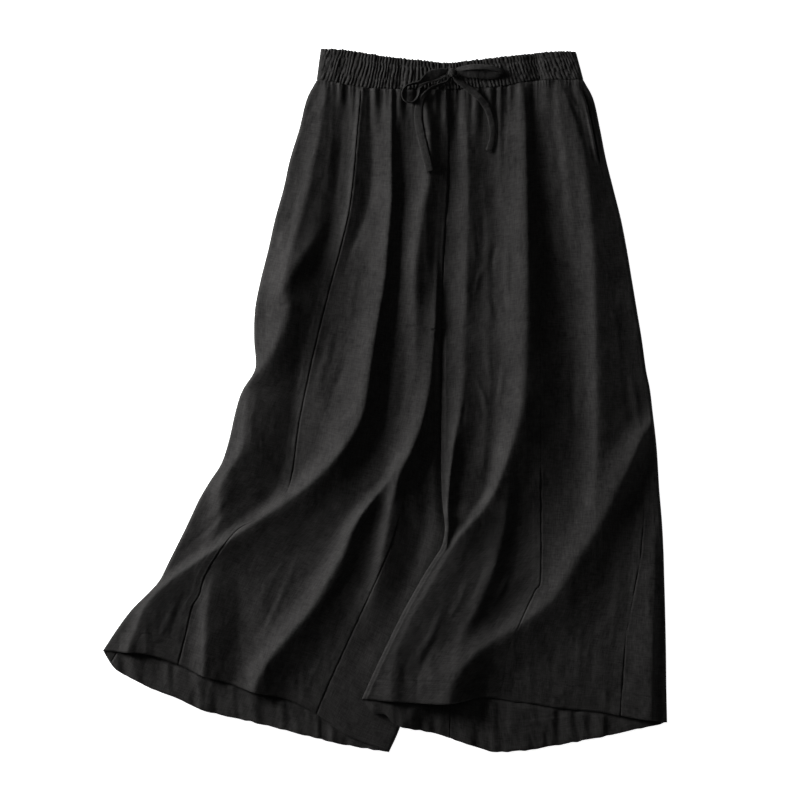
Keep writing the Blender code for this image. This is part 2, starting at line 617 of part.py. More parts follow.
def cord_piece(name, route, collection):
    """One stretch of the drawstring, as a tube with closed ends."""
    cord = bpy.data.curves.new(name, "CURVE")
    cord.dimensions = "3D"
    cord.bevel_depth = CORD_DIAMETER / 2 * MM
    cord.bevel_resolution = 2
    cord.use_fill_caps = True
    path = cord.splines.new("POLY")
    path.points.add(len(route) - 1)
    for point, place in zip(path.points, route):
        point.co = (*(place * MM), 1)
    return add_piece(name, cord, collection)


def drawstring(collection):
    """A bow at the centre front: a knot, two loops and two free ends."""
    up = (KNOT_CENTRE[1] - across(BAND_BOTTOM, KNOT_CENTRE[0])) / BAND_DEPTH
    fullness = np.interp(up, BAND_ROWS[::-1], BAND_ROW_FULLNESS[::-1])
    knot_level = BAND_HEIGHT + BAND_GATHER_HEIGHT * fullness + KNOT_SIZE[2] + SEAM_GAP
    ball = bmesh.new()
    bmesh.ops.create_uvsphere(ball, u_segments=14, v_segments=8, radius=1)
    for vert in ball.verts:
        across_knot, up_knot, out_knot = vert.co
        vert.co = (
            (KNOT_CENTRE[0] + across_knot * KNOT_SIZE[0]) * MM,
            (KNOT_CENTRE[1] + up_knot * KNOT_SIZE[1]) * MM,
            (knot_level + out_knot * KNOT_SIZE[2]) * MM,
        )
    knot = bpy.data.meshes.new("drawstring_knot")
    ball.to_mesh(knot)
    ball.free()
    knot.shade_smooth()
    add_piece("drawstring_knot", knot, collection)
    stretches = {
        "drawstring_right_loop": RIGHT_LOOP,
        "drawstring_left_loop": LEFT_LOOP,
        "drawstring_right_end": RIGHT_TAIL,
        "drawstring_left_end": LEFT_TAIL,
    }
    for name, table in stretches.items():
        cord_piece(name, drawstring_route(table), collection)


def clear_scene():
    for old in list(bpy.data.objects):
        bpy.data.objects.remove(old, do_unlink=True)


clear_scene()
bpy.context.scene.unit_settings.system = "METRIC"
culottes = bpy.data.collections.new("culottes")
bpy.context.scene.collection.children.link(culottes)
right_leg(culottes)
left_leg(culottes)
pocket_facing(culottes)
waistband(culottes)
drawstring(culottes)
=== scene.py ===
"""The looks of a pair of wide-leg linen culottes with a drawstring waist, laid flat on a table.

+X points to the wearer's left, +Y to the waist and +Z up. Sizes and places are in millimetres,
and become metres where a mesh is made.
"""

import math

import bmesh
import bpy
import numpy as np
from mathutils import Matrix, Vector


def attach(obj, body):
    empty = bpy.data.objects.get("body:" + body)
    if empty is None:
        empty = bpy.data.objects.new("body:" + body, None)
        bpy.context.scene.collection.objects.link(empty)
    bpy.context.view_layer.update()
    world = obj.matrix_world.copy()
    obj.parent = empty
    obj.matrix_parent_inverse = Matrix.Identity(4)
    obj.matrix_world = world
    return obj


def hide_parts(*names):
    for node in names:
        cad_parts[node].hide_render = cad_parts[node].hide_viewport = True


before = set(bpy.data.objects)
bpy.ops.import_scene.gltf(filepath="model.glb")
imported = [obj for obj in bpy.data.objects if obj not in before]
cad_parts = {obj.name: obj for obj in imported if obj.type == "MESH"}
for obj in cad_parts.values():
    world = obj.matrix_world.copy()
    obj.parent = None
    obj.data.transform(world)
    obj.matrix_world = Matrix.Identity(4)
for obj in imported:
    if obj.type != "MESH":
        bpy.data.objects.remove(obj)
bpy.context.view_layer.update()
MM = 0.001

# ------------------------------------------------------------------ camera, table and light
# The culottes lie on a plain white table, and the camera looks straight down at them through a
# long lens. One soft lamp stands low beside the right leg, and little light comes from elsewhere.

CAMERA_PLACE = (0.018, 0.0006, 4.0)
CAMERA_LENS = 150.0
TABLE_SIZE = 8.0
TABLE_DROP = 0.0004
WHITE = (1.0, 1.0, 1.0, 1.0)
TABLE_PAINT = {
    "Base Color": (0.9, 0.9, 0.9, 1.0), "Roughness": 0.9, "Specular IOR Level": 0.0,
    "Emission Color": WHITE, "Emission Strength": 0.95,
}
# Name, place, size and power of each lamp
LAMPS = [
    ("key_lamp", (-1.92, 0.9, 0.61), 0.9, 163.0),
    ("fill_lamp", (0.5, 0.9, 2.2), 1.8, 2.6),
]
SKY_STRENGTH = 0.08


def placed(name, data):
    """An object made of this data, in the scene."""
    made = bpy.data.objects.new(name, data)
    bpy.context.scene.collection.objects.link(made)
    return made


camera_data = bpy.data.cameras.new("camera")
camera_data.lens = CAMERA_LENS
camera = placed("camera", camera_data)
camera.location = CAMERA_PLACE
bpy.context.scene.camera = camera
bpy.context.scene.view_settings.view_transform = "Standard"
for name, place, size, power in LAMPS:
    light = bpy.data.lights.new(name, "AREA")
    light.size = size
    light.energy = power
    lamp = placed(name, light)
    lamp.location = place
    lamp.rotation_euler = (-Vector(place)).to_track_quat("-Z", "Y").to_euler()
sky = bpy.data.worlds.new("studio")
sky.use_nodes = True
sky_light = sky.node_tree.nodes["Background"].inputs
sky_light["Color"].default_value = WHITE
sky_light["Strength"].default_value = SKY_STRENGTH
bpy.context.scene.world = sky
table_top = bmesh.new()
bmesh.ops.create_grid(table_top, x_segments=4, y_segments=4, size=TABLE_SIZE / 2)
table_mesh = bpy.data.meshes.new("table")
table_top.to_mesh(table_mesh)
table_top.free()
table = placed("table", table_mesh)
table.location.z = -TABLE_DROP
table_paint = bpy.data.materials.new("table_paint")
table_paint.use_nodes = True
paint = table_paint.node_tree.nodes["Principled BSDF"].inputs
for socket, value in TABLE_PAINT.items():
    paint[socket].default_value = value
table_mesh.materials.append(table_paint)

# ------------------------------------------------------------------ right side front panel
# The outer front of the right leg, in plain-weave linen. It is seamed to the centre panel down the
# slanting front seam, and turns under the leg's outer edge to the side seam. Its hem is turned up.

CLOTH_THICKNESS = 1.1
LOWEST_INSIDE = 0.3
HALF_GAP = 0.015
HALF_LAP = 0.03
REST_HEIGHT = 6.0
HEM_SETTLES = 2.2
SETTLING_REACH = 70.0
EDGE_DEPTH = 4.0
BEND_STEPS = 9
GARMENT_LENGTH = 760.0
CROTCH = 0.365
CROTCH_NOTCH = 0.00005
WAIST_GAP = 0.04
SEAM_FADE = 12.0
RIGHT_SIDE_SEAM_INSET = 9.0
SEAM_STEPS = (0.0, 0.4, 0.8, 1.3, 2.2)
FAR_OFF = 99.0
SEAM_DEPTH = 0.55
SEAM_WIDTH = 1.1
ALLOWANCE_WIDTH = 9.0
ALLOWANCE_HEIGHT = 0.3
HEM_TURN = 30.0
HEM_SEWN = 28.0
HEM_THICKNESS = 0.35
RISE_POWER, RISE_CREST = 2.5, 0.14
FALL_POWER, FALL_CREST, FALL_SPREAD = 1.8, 0.08, 1.35
GRID = 1.5
GRID_EAST, GRID_NORTH = (-356, 356), (-440, 402)
CRUMPLE_PERIOD = 97
NARROWEST = 9.0
UPRIGHT_FROM = 0.6
SHARP_ANGLE = math.radians(60)
BAND_GATHERS = 76
# How strongly the waist is gathered, by place across it
GATHERED_PLACE = (0.0, 0.06, 0.1, 0.68, 0.75, 1.0)
GATHERED_MOST = (0.45, 0.55, 1.0, 1.0, 0.6, 0.6)

# How far apart the rows of the mesh lie, by how far down the garment they are
ROW_SPACING = [
    (0.0, 0.7), (0.006, 1.6), (0.06, 2.6), (0.5, 3.4), (0.93, 3.1), (0.955, 1.5), (0.965, 1.5),
    (0.98, 2.3), (0.996, 1.0), (1.0, 0.7),
]

# Lines from the waist to the hem: x, y
RIGHT_EDGE = [
    (-82, 384), (-94, 361), (-103, 325), (-114, 289), (-122, 253), (-132, 217), (-140, 181),
    (-149, 145), (-156, 109), (-157, 73), (-155, 49), (-157, 34), (-171, 12), (-179, -12),
    (-187, -47), (-196, -75), (-210, -97), (-223, -119), (-240, -155), (-258, -191), (-270, -215),
    (-283, -230), (-304, -251), (-322, -275), (-338.4, -300),
]
RIGHT_FRONT_SEAM = [
    (-28, 372.6), (-32, 325), (-40, 241), (-50, 193), (-66, 133), (-84, 61), (-102, -23),
    (-116, -107), (-148, -139), (-174, -153), (-192, -173), (-214, -208), (-222, -233),
    (-231, -249), (-240, -287), (-248, -317),
]
LEFT_INNER_FOLD = [
    (67.5, 85), (67.3, 70), (67.2, 40), (67.2, 0), (67.2, -60), (67.6, -100), (69.2, -128),
    (71.6, -152), (68, -174), (57, -192), (44, -213), (18, -260), (-10, -318), (-27.6, -357),
]

# Lines across the body: x, y
BAND_BOTTOM = [
    (-82, 384.6), (-64, 382), (-25, 375), (18, 373), (78, 372.8), (138, 376), (164, 381),
    (192, 384), (238, 384.6),
]
RIGHT_FRONT_HEM = [
    (-338.4, -300), (-312, -302), (-282, -305), (-248, -317), (-216, -331), (-188, -339),
    (-156, -350), (-126, -356), (-90, -371), (-50, -399), (-23, -411), (4.8, -421.8),
]
RIGHT_BACK_HEM = [
    (-338.4, -300), (-328, -317), (-316, -327), (-298, -337), (-270, -350), (-246, -359),
    (-214, -373), (-174, -382), (-126, -394), (-82, -405), (-48, -413), (4.8, -421.8),
]

# Folds of the front, along each crest: x, y, height, width of the left and right slope. The left
# slope rises slowly to a crisp crest, and the right one falls away from it. A fold whose height is
# negative is a hollow between two others.
RIGHT_FOLDS = {
    "outer": [
        (-70, 372, 1.5, 14, 14), (-74, 345, 3, 22, 18), (-80, 310, 4.5, 28, 20),
        (-90, 262, 5.5, 32, 22), (-100, 222, 6, 34, 24), (-109, 190, 6.5, 34, 24),
        (-116, 165, 5.5, 30, 24), (-121, 145, 3.5, 26, 20), (-124, 125, 1, 20, 16),
    ],
    "hip": [
        (-61, 372, 0.4, 24, 12), (-64, 340, 0.7, 30, 18), (-67, 300, 1, 34, 20),
        (-71, 253, 1.5, 36, 22), (-79, 215, 2.8, 38, 26), (-88, 187, 6.5, 42, 32),
        (-102, 166, 12, 50, 40), (-114, 145, 14, 56, 44), (-118, 128, 14.5, 58, 44),
        (-115, 111, 14.5, 58, 42), (-118, 95, 13.5, 54, 44), (-126, 73, 12.5, 46, 46),
        (-138, 49, 9, 36, 44), (-156, 27, 5, 22, 40), (-168, 10, 2, 12, 34),
    ],
    "beside_hip": [
        (-46, 372, -0.6, 16, 12), (-50, 340, -1.2, 20, 18), (-53, 300, -1.7, 22, 20),
        (-57, 253, -2.4, 24, 22), (-63, 215, -3.2, 26, 22), (-69, 190, -3.2, 26, 20),
        (-78, 165, -2, 24, 16), (-88, 140, -0.5, 20, 14),
    ],
    "below_hip": [
        (-96, 75, -1, 24, 16), (-103, 40, -3, 36, 20), (-107, 0, -4, 42, 24),
        (-111, -40, -4, 46, 26), (-120, -75, -3.6, 46, 26), (-132, -105, -2.4, 36, 22),
        (-142, -125, -0.8, 26, 16),
    ],
    "thigh": [
        (-160, 18, 1, 14, 34), (-162, 0, 5, 22, 44), (-164, -30, 9.2, 28, 54),
        (-167, -50, 10.5, 30, 58), (-176, -70, 10.5, 30, 58), (-190, -92, 10, 30, 58),
        (-196, -110, 9, 30, 54), (-196, -137, 7, 32, 46), (-204, -160, 4, 30, 34),
        (-218, -178, 1, 20, 24),
    ],
    "seam": [
        (-29, 370, 1.8, 9, 8), (-33, 325, 2.6, 9, 10), (-40, 253, 3, 9, 12), (-46, 215, 2.2, 9, 14),
        (-54, 180, 1, 10, 14), (-62, 150, 0.3, 10, 12),
    ],
    "beside_seam": [
        (-14, 350, -1.2, 16, 9), (-15, 310, -2.2, 20, 9), (-17, 260, -2.9, 24, 10),
        (-23, 225, -3, 24, 11), (-33, 200, -2.8, 24, 12), (-43, 170, -1.4, 22, 12),
        (-52, 145, -0.4, 16, 10),
    ],
    "long": [
        (8, 370, 3, 12, 8), (8, 330, 5, 20, 9), (8, 285, 6.5, 26, 9), (8, 241, 8, 30, 10),
        (4, 193, 9.5, 36, 11), (0, 145, 11, 42, 12), (-8, 97, 12, 48, 13), (-16, 49, 12.5, 54, 16),
        (-23, 0, 13.5, 56, 19), (-32, -28, 14.5, 55, 24), (-54, -63, 15, 40, 30),
        (-86, -97, 13, 26, 44), (-118, -121.5, 11, 23, 50), (-150, -143.5, 10, 21, 54),
        (-182, -165, 8.8, 18, 56), (-222, -191, 7.8, 15, 52), (-258, -217, 7.2, 15, 50),
        (-284, -243, 7, 18, 50), (-296, -270, 6.5, 20, 50), (-306, -296, 6, 18, 50),
        (-314, -322, 5, 14, 44),
    ],
    "inner": [
        (48, 372, 2.5, 18, 10), (52, 340, 6, 26, 13), (54, 300, 8.5, 32, 18), (53, 265, 9, 34, 24),
        (47, 230, 9, 34, 28), (42, 193, 9.5, 34, 30), (38, 163, 9.5, 34, 30),
        (37, 133, 8.4, 34, 28), (37, 94, 6.8, 34, 25), (37, 60, 4.8, 32, 22), (36, 35, 2.4, 28, 18),
        (32, 10, 0.5, 24, 14),
    ],
    "crotch": [
        (63, 160, 1, 12, 3), (62, 125, 3, 18, 3.5), (61, 90, 5.8, 34, 5.5), (57.5, 50, 8, 44, 9),
        (52.5, 10, 9.3, 48, 13), (43.5, -28, 11.8, 46, 16), (31.5, -60, 13.5, 40, 18),
        (18.5, -87, 12, 28, 18), (12, -112, 10, 23, 28), (4, -148, 8, 23, 34),
        (-3, -185, 7, 23, 34), (-12, -225, 5, 20, 28), (-21, -258, 1.5, 14, 18),
    ],
    "ridge": [
        (16, -66, 2, 10, 10), (8, -88, 4.5, 11, 14), (-4, -106, 7, 13, 18), (-19, -124, 9, 15, 20),
        (-31, -141, 10, 18, 22), (-41, -160, 10.5, 22, 24), (-49, -182, 11, 28, 26),
        (-65, -212, 11, 33, 28), (-77, -233, 11, 34, 30), (-90, -254, 11.5, 34, 32),
        (-116, -284, 12, 34, 34), (-141, -315, 12, 33, 34), (-153, -339, 11, 31, 34),
        (-160, -365, 10, 30, 34), (-165, -390, 10, 28, 34),
    ],
    "hem": [
        (-204, -204, 0.6, 14, 20), (-209, -226, 3.5, 18, 30), (-213, -252, 7.5, 20, 38),
        (-215, -290, 8.5, 21, 42), (-217, -320, 8, 21, 40), (-220, -345, 7, 20, 36),
    ],
    "beside_hem": [
        (-176, -215, -0.8, 24, 20), (-174, -245, -2.2, 34, 26), (-176, -290, -2.4, 36, 26),
        (-182, -330, -1.8, 34, 24), (-186, -355, -1.4, 30, 22),
    ],
    "inner_dip": [
        (52, -96, -1.2, 30, 12), (52, -125, -2.8, 36, 12), (46, -160, -3.2, 36, 12),
        (36, -195, -3, 34, 12), (21, -232, -2.2, 28, 12), (6, -262, -0.8, 20, 10),
    ],
    "under_left_leg": [
        (66, -125, 0.2, 24, 12), (64, -170, 0.5, 26, 12), (50, -198, 0.6, 26, 14),
        (28, -240, 0.9, 26, 14), (4, -288, 1.2, 26, 14), (-18, -330, 1, 26, 14),
    ],
}
# Short gathers below the waistband: x at the band, length, height, half width
GATHERS = [
    (-71, 45, 1.2, 7), (-53, 42, 2.5, 7), (-12, 70, 3.0, 8), (18, 60, 3.0, 7), (47, 50, 2.5, 7),
    (61, 42, 2.5, 6), (73, 75, 2.5, 6), (85, 40, 2.5, 6), (110, 85, 3.5, 9), (126, 55, 2.5, 8),
    (194, 75, 2.4, 11), (231, 50, 1.5, 8), (86, 125, -3.5, 16),
]
# Smaller ones, ridges and then troughs
FINE_GATHERS = [
    (-62, 30, 0.8, 4), (-40, 55, 1.1, 4), (-26, 30, 0.8, 3), (1, 50, 1.3, 4), (9, 34, 0.7, 3),
    (33, 60, 1.3, 4), (40, 28, 0.8, 3), (54, 36, 0.8, 3), (67, 30, 0.8, 3), (79, 26, 0.9, 3),
    (92, 120, 1.6, 5), (101, 40, 0.7, 3), (118, 34, 0.8, 3), (138, 140, 1.6, 5), (150, 40, 1.2, 4),
    (162, 60, 1.2, 5), (-18, 90, -1.2, 4), (12, 120, -1.2, 4), (25, 50, -0.8, 4),
    (104, 60, -0.8, 4), (132, 70, -0.9, 4), (178, 150, -1.2, 6), (146, 60, -0.7, 4),
    (-47, 40, -0.7, 4),
]
# Small creases pressed and sat into the linen: height, half width, and the line it follows
RIGHT_CREASES = [
    (0.6, 5, [(-96, 325), (-84, 348), (-76, 366)]),
    (0.5, 5, [(-88, 330), (-76, 352), (-64, 370)]),
    (-0.8, 6, [(-160, 12), (-164, -20), (-166, -56)]),
    (0.9, 7, [(-102, -186), (-126, -236), (-148, -290)]),
    (0.7, 6, [(-122, -190), (-143, -232), (-160, -276)]),
    (0.6, 5, [(-138, -206), (-152, -240), (-166, -272)]),
    (-0.7, 6, [(-112, -200), (-134, -246), (-152, -282)]),
    (0.8, 6, [(2, -246), (-12, -266), (-26, -290)]),
    (0.7, 6, [(-12, -296), (-28, -322), (-42, -350)]),
    (-0.6, 5, [(-4, -270), (-22, -300), (-40, -330)]),
    (0.7, 6, [(-64, -284), (-82, -320), (-102, -362)]),
    (0.7, 7, [(-110, 230), (-122, 196), (-134, 168)]),
    (-0.6, 6, [(-100, 262), (-110, 228), (-120, 204)]),
    (0.6, 6, [(-60, 330), (-66, 290), (-68, 250)]),
    (-0.6, 6, [(-52, 320), (-56, 280), (-60, 236)]),
    (0.9, 7, [(-60, 90), (-70, 50), (-84, 10)]),
    (-0.9, 8, [(-46, 60), (-56, 24), (-72, -14)]),
    (0.7, 7, [(-30, 170), (-38, 130), (-44, 90)]),
    (0.8, 6, [(-24, 10), (-40, -16), (-62, -38)]),
    (0.6, 6, [(-184, -110), (-204, -134), (-226, -154)]),
    (-0.6, 5, [(-190, -130), (-214, -156), (-238, -174)]),
    (0.7, 6, [(-250, -240), (-262, -268), (-272, -292)]),
    (-0.7, 6, [(-238, -228), (-250, -258), (-258, -288)]),
    (0.9, 8, [(18, 60), (14, 20), (4, -16)]),
    (-0.7, 7, [(26, 30), (20, -6), (6, -40)]),
    (0.7, 7, [(50, 220), (52, 170), (54, 120)]),
    (0.8, 7, [(30, -90), (38, -120), (42, -150)]),
    (-0.8, 7, [(22, -110), (28, -150), (24, -190)]),
    (0.7, 6, [(-44, -190), (-62, -222), (-80, -250)]),
    (-0.7, 6, [(-30, -184), (-46, -214), (-62, -240)]),
    (0.6, 6, [(-104, -300), (-122, -330), (-138, -356)]),
]


class Shade:
    """A socket among a material's nodes. Sums on it add Math nodes."""

    def __init__(self, tree, socket=None):
        self.tree = tree
        self.socket = socket

    def node(self, kind, settings, inputs, output=0):
        """Adds a node with its settings and its sockets' values or links, and gives an output."""
        made = self.tree.nodes.new(kind)
        for name, value in settings.items():
            setattr(made, name, value)
        for name, value in inputs.items():
            if isinstance(value, Shade):
                self.tree.links.new(value.socket, made.inputs[name])
            else:
                made.inputs[name].default_value = value
        return Shade(self.tree, made.outputs[output])

    def sum(self, operation, *values):
        return self.node("ShaderNodeMath", {"operation": operation}, dict(enumerate(values)))

    def __add__(self, other):
        return self.sum("ADD", self, other)

    def __mul__(self, other):
        return self.sum("MULTIPLY", self, other)

    def __sub__(self, other):
        return self.sum("SUBTRACT", self, other)

    __radd__ = __add__


LINEN_DARK = (0.0048, 0.0046, 0.0045, 1.0)
LINEN_LIGHT = (0.0250, 0.0240, 0.0234, 1.0)
THREAD_PITCH = 0.00072
SLUB_WIDTH, SLUB_LENGTH = 0.0013, 0.012
# Width and length of a soft patch of wear, and of a small blotch
PATCH, BLOTCH = (0.025, 0.035), (0.004, 0.0055)
LINEN_FINISH = {
    "Specular IOR Level": 0.08, "Sheen Weight": 0.01, "Sheen Roughness": 0.4,
    "Sheen Tint": (0.9, 0.86, 0.82, 1.0),
}


def linen(name, roughness=0.72, slubs=0.95, weave=0.4):
    """Black plain-weave linen: thick and thin threads both ways, and soft patches of wear."""
    material = bpy.data.materials.new(name)
    material.use_nodes = True
    start = Shade(material.node_tree)
    grain = start.node("ShaderNodeUVMap", {"uv_map": "grain"}, {})

    def cloud(across, down, detail):
        """Noise whose blots are this wide and long, in metres."""
        place = start.node(
            "ShaderNodeVectorMath",
            {"operation": "MULTIPLY"},
            {0: grain, 1: (1 / across, 1 / down, 1.0)},
        )
        inputs = {"Vector": place, "Scale": 1.0, "Detail": detail, "Roughness": 0.6}
        return start.node("ShaderNodeTexNoise", {"noise_dimensions": "2D"}, inputs)

    warp = start.node("ShaderNodeSeparateXYZ", {}, {"Vector": grain})
    weft = Shade(start.tree, warp.socket.node.outputs["Y"])
    turn = 2 * math.pi / THREAD_PITCH
    threads = start.sum("SINE", warp * turn) * start.sum("SINE", weft * turn)
    warp_slubs = cloud(SLUB_WIDTH, SLUB_LENGTH, 2.0)
    weft_slubs = cloud(SLUB_LENGTH, SLUB_WIDTH, 2.0)
    patches = cloud(*PATCH, 5.0)
    fleck = (warp_slubs + weft_slubs - 1.0) * slubs
    blotches = cloud(*BLOTCH, 3.0)
    tone = 0.46 + fleck + (patches - 0.5) * 0.8 + (blotches - 0.5) * 0.5 + threads * 0.05
    mix = start.node(
        "ShaderNodeMix",
        {"data_type": "RGBA", "clamp_factor": True},
        {"Factor": tone, 6: LINEN_DARK, 7: LINEN_LIGHT},
        output=2,
    )
    relief = threads * weave + fleck * 1.1
    bump = start.node(
        "ShaderNodeBump", {}, {"Strength": 0.55, "Distance": 0.00025, "Height": relief}
    )
    finish = material.node_tree.nodes["Principled BSDF"].inputs
    links = {"Base Color": mix, "Normal": bump, "Roughness": roughness + fleck * 0.12}
    for name, shade in links.items():
        start.tree.links.new(shade.socket, finish[name])
    for name, value in LINEN_FINISH.items():
        finish[name].default_value = value
    return material


def curve(points, steps=8):
    """Points on a smooth curve through the given ones, with every column carried along."""
    rows = np.array(points, float)
    ends = np.vstack([2 * rows[0] - rows[1], rows, 2 * rows[-1] - rows[-2]])
    found = []
    for a, b, c, d in zip(ends, ends[1:], ends[2:], ends[3:]):
        for t in np.arange(steps) / steps:
            turn = (2 * a - 5 * b + 4 * c - d) * t * t + (3 * b - 3 * c + d - a) * t**3
            found.append(b + 0.5 * ((c - a) * t + turn))
    return np.vstack(found + [rows[-1]])


def along(points, fractions):
    """Points at the given fractions of a smooth curve's length."""
    line = curve(points)
    length = np.append(0, np.cumsum(np.hypot(*np.diff(line[:, :2], axis=0).T)))
    at = np.asarray(fractions) * length[-1]
    return np.column_stack([np.interp(at, length, column) for column in line.T])


def across(points, x):
    """The y of a line that runs across the body, at each x."""
    line = curve(points)
    return np.interp(x, line[:, 0], line[:, 1])


def down_line(points, y):
    """The x of a line that runs from the waist to the hem, at each y."""
    line = curve(points)
    return np.interp(-y, -line[:, 1], line[:, 0])


def smooth_step(t):
    """0 up to 0, 1 from 1, and a soft rise between them."""
    t = np.clip(t, 0, 1)
    return t * t * (3 - 2 * t)


def between(y, top, bottom):
    """1 between two heights, with a soft end at each."""
    return smooth_step((top - y) / SEAM_FADE) * smooth_step((y - bottom) / SEAM_FADE)


def bell(t):
    """1 at 0, falling to 0 at -1 and 1."""
    return 0.5 + 0.5 * np.cos(math.pi * np.clip(t, -1, 1))


def crumple(x, y, seed):
    """Smooth unevenness from -1 to 1, with a hollow or a swelling about every unit of x and y."""
    heights = np.random.default_rng(seed).uniform(-1, 1, (CRUMPLE_PERIOD, CRUMPLE_PERIOD))
    x, y = np.broadcast_arrays(x, y)
    column, row = np.floor(x).astype(int), np.floor(y).astype(int)
    s, t = smooth_step(x - column), smooth_step(y - row)
    left, right = column % CRUMPLE_PERIOD, (column + 1) % CRUMPLE_PERIOD
    low, high = row % CRUMPLE_PERIOD, (row + 1) % CRUMPLE_PERIOD
    near = heights[low, left] * (1 - s) + heights[low, right] * s
    far = heights[high, left] * (1 - s) + heights[high, right] * s
    return near * (1 - t) + far * t


class Relief:
    """The height of one layer of cloth above the table, on a square grid of points."""

    def __init__(self, level):
        self.x = np.arange(*GRID_EAST, GRID)
        self.y = np.arange(*GRID_NORTH, GRID)
        self.east, self.north = np.meshgrid(self.x, self.y)
        self.height = np.full(self.east.shape, float(level))

    def beside(self, table, reach):
        """For the points near a line: their window of the grid, how far off it each one is, if it
        is left of it, and the line's values beside it."""
        line = curve(table)
        low, high = line[:, :2].min(axis=0) - reach, line[:, :2].max(axis=0) + reach
        columns = slice(*np.searchsorted(self.x, (low[0], high[0])))
        rows = slice(*np.searchsorted(self.y, (low[1], high[1])))
        east, north = self.east[rows, columns], self.north[rows, columns]
        away = np.full(east.shape, np.inf)
        left = np.zeros(east.shape, bool)
        values = np.ones((*east.shape, line.shape[1] - 2))
        for start, end in zip(line, line[1:]):
            low = np.minimum(start, end)[:2] - reach
            high = np.maximum(start, end)[:2] + reach
            i = slice(*np.searchsorted(north[:, 0], (low[1], high[1])))
            j = slice(*np.searchsorted(east[0], (low[0], high[0])))
            x, y = east[i, j] - start[0], north[i, j] - start[1]
            dx, dy = end[:2] - start[:2]
            t = np.clip((x * dx + y * dy) / (dx * dx + dy * dy), 0, 1)
            off = np.hypot(x - t * dx, y - t * dy)
            closer = off < away[i, j]
            away[i, j][closer] = off[closer]
            left[i, j][closer] = (dx * y - dy * x < 0)[closer]
            values[i, j][closer] = (start[2:] + t[..., None] * (end[2:] - start[2:]))[closer]
        return (rows, columns), away, left, np.moveaxis(values, -1, 0)

    def fold(self, table):
        """Lifts the cloth in a fold, up its left slope to a crest and steeply down its right."""
        reach = max(max(row[3], FALL_SPREAD * row[4]) for row in table)
        window, away, left, (height, left_width, right_width) = self.beside(table, reach)
        distance = np.clip(away / np.where(left, left_width, FALL_SPREAD * right_width), 0, 1)
        crest = np.where(left, RISE_CREST, FALL_CREST)
        rounded = (np.hypot(distance, crest) - crest) / (np.hypot(1, crest) - crest)
        self.height[window] += height * (1 - rounded) ** np.where(left, RISE_POWER, FALL_POWER)

    def crease(self, height, half_width, line):
        """Adds a small crease that fades out at both ends."""
        table = np.column_stack([line, np.linspace(0, 1, len(line))])
        window, away, _, (place,) = self.beside(table, half_width)
        fade = np.sin(math.pi * np.clip(place, 0, 1)) ** 0.8
        self.height[window] += height * fade * bell(np.clip(away / half_width, 0, 1))

    def gather(self, middle, length, height, half_width):
        """Adds a gather that hangs from the waistband."""
        below = across(BAND_BOTTOM, self.x)[None] - self.north
        fade = 1 - smooth_step(below / length)
        self.height += height * fade * bell((self.east - middle) / half_width)

    def crumpled(self, seed, calm):
        """Adds the linen's own unevenness: long soft swells, and small dents with sharp ridges."""
        x, y = self.east, self.north
        swell = 0.5 * crumple(x / 24, y / 42, seed) + 0.3 * crumple(x / 11, y / 17, seed + 1)
        dents = 0.32 * np.abs(crumple(x / 7, y / 11, seed + 2))
        dents = dents + 0.1 * crumple(x / 4, y / 5, seed + 3)
        self.height += (swell + dents) * calm

    def at(self, x, y):
        """The height at each point, between those of the grid."""
        column = np.clip((x - self.x[0]) / GRID, 0, len(self.x) - 1.001)
        row = np.clip((y - self.y[0]) / GRID, 0, len(self.y) - 1.001)
        i, j = row.astype(int), column.astype(int)
        t, s = row - i, column - j
        low = self.height[i, j] * (1 - s) + self.height[i, j + 1] * s
        high = self.height[i + 1, j] * (1 - s) + self.height[i + 1, j + 1] * s
        return low * (1 - t) + high * t


def row_stations():
    """How far down the garment each row lies, from 0 to 1, with two rows at the crotch."""
    down, spacing = np.array(ROW_SPACING).T
    found = [0.0]
    while found[-1] < 1:
        found.append(found[-1] + np.interp(found[-1], down, spacing) / GARMENT_LENGTH)
    found = np.array(found) / found[-1]
    found[np.abs(found - CROTCH).argmin()] = CROTCH
    return np.sort(np.append(found, CROTCH - CROTCH_NOTCH))


ROWS = row_stations()
CROTCH_ROW = int(np.searchsorted(ROWS, CROTCH))
DOWN = ROWS[:, None] * GARMENT_LENGTH
ABOVE_HEM = GARMENT_LENGTH - DOWN


def moved(line, distance):
    """A line from waist to hem, moved sideways."""
    return line + np.column_stack([np.broadcast_to(distance, len(line)), np.zeros(len(line))])


class Run:
    """Part of a panel: points on its outer face, down the rows and across, and what lies inside."""

    def __init__(self, points, offset=0.0, swelling=None, first_row=0):
        self.points = points
        step = np.linalg.norm(np.diff(points[..., :2], axis=1), axis=2)
        self.grain = offset + np.hstack([np.zeros((len(points), 1)), np.cumsum(step, axis=1)])
        self.swelling = np.zeros(points.shape[:2]) if swelling is None else swelling
        self.first_row = first_row


def beside_seam(distance, seed, allowance):
    """The cloth's height near a seam: sunk at the stitches, puckered, and raised over what is
    pressed back behind it."""
    sunk = -SEAM_DEPTH * (1 - smooth_step(distance / SEAM_WIDTH))
    lip = 0.2 * bell((distance - 2.2) / 1.8)
    plateau = smooth_step(distance / 2.0) * (1 - smooth_step((distance - ALLOWANCE_WIDTH) / 2.0))
    puckers = crumple(DOWN / 5.5, distance / 9, seed) + 0.7 * crumple(DOWN / 9.0, 0.0, seed + 1)
    raised = allowance * ALLOWANCE_HEIGHT * plateau
    return sunk + lip + raised + 0.24 * puckers * np.exp(-distance / 6)


def shown(line, *spans):
    """1 where a seam lies open between two heights, and little where a fold has closed over it."""
    return 0.12 + 0.88 * np.max([between(line[:, 1:], *span) for span in spans], axis=0)


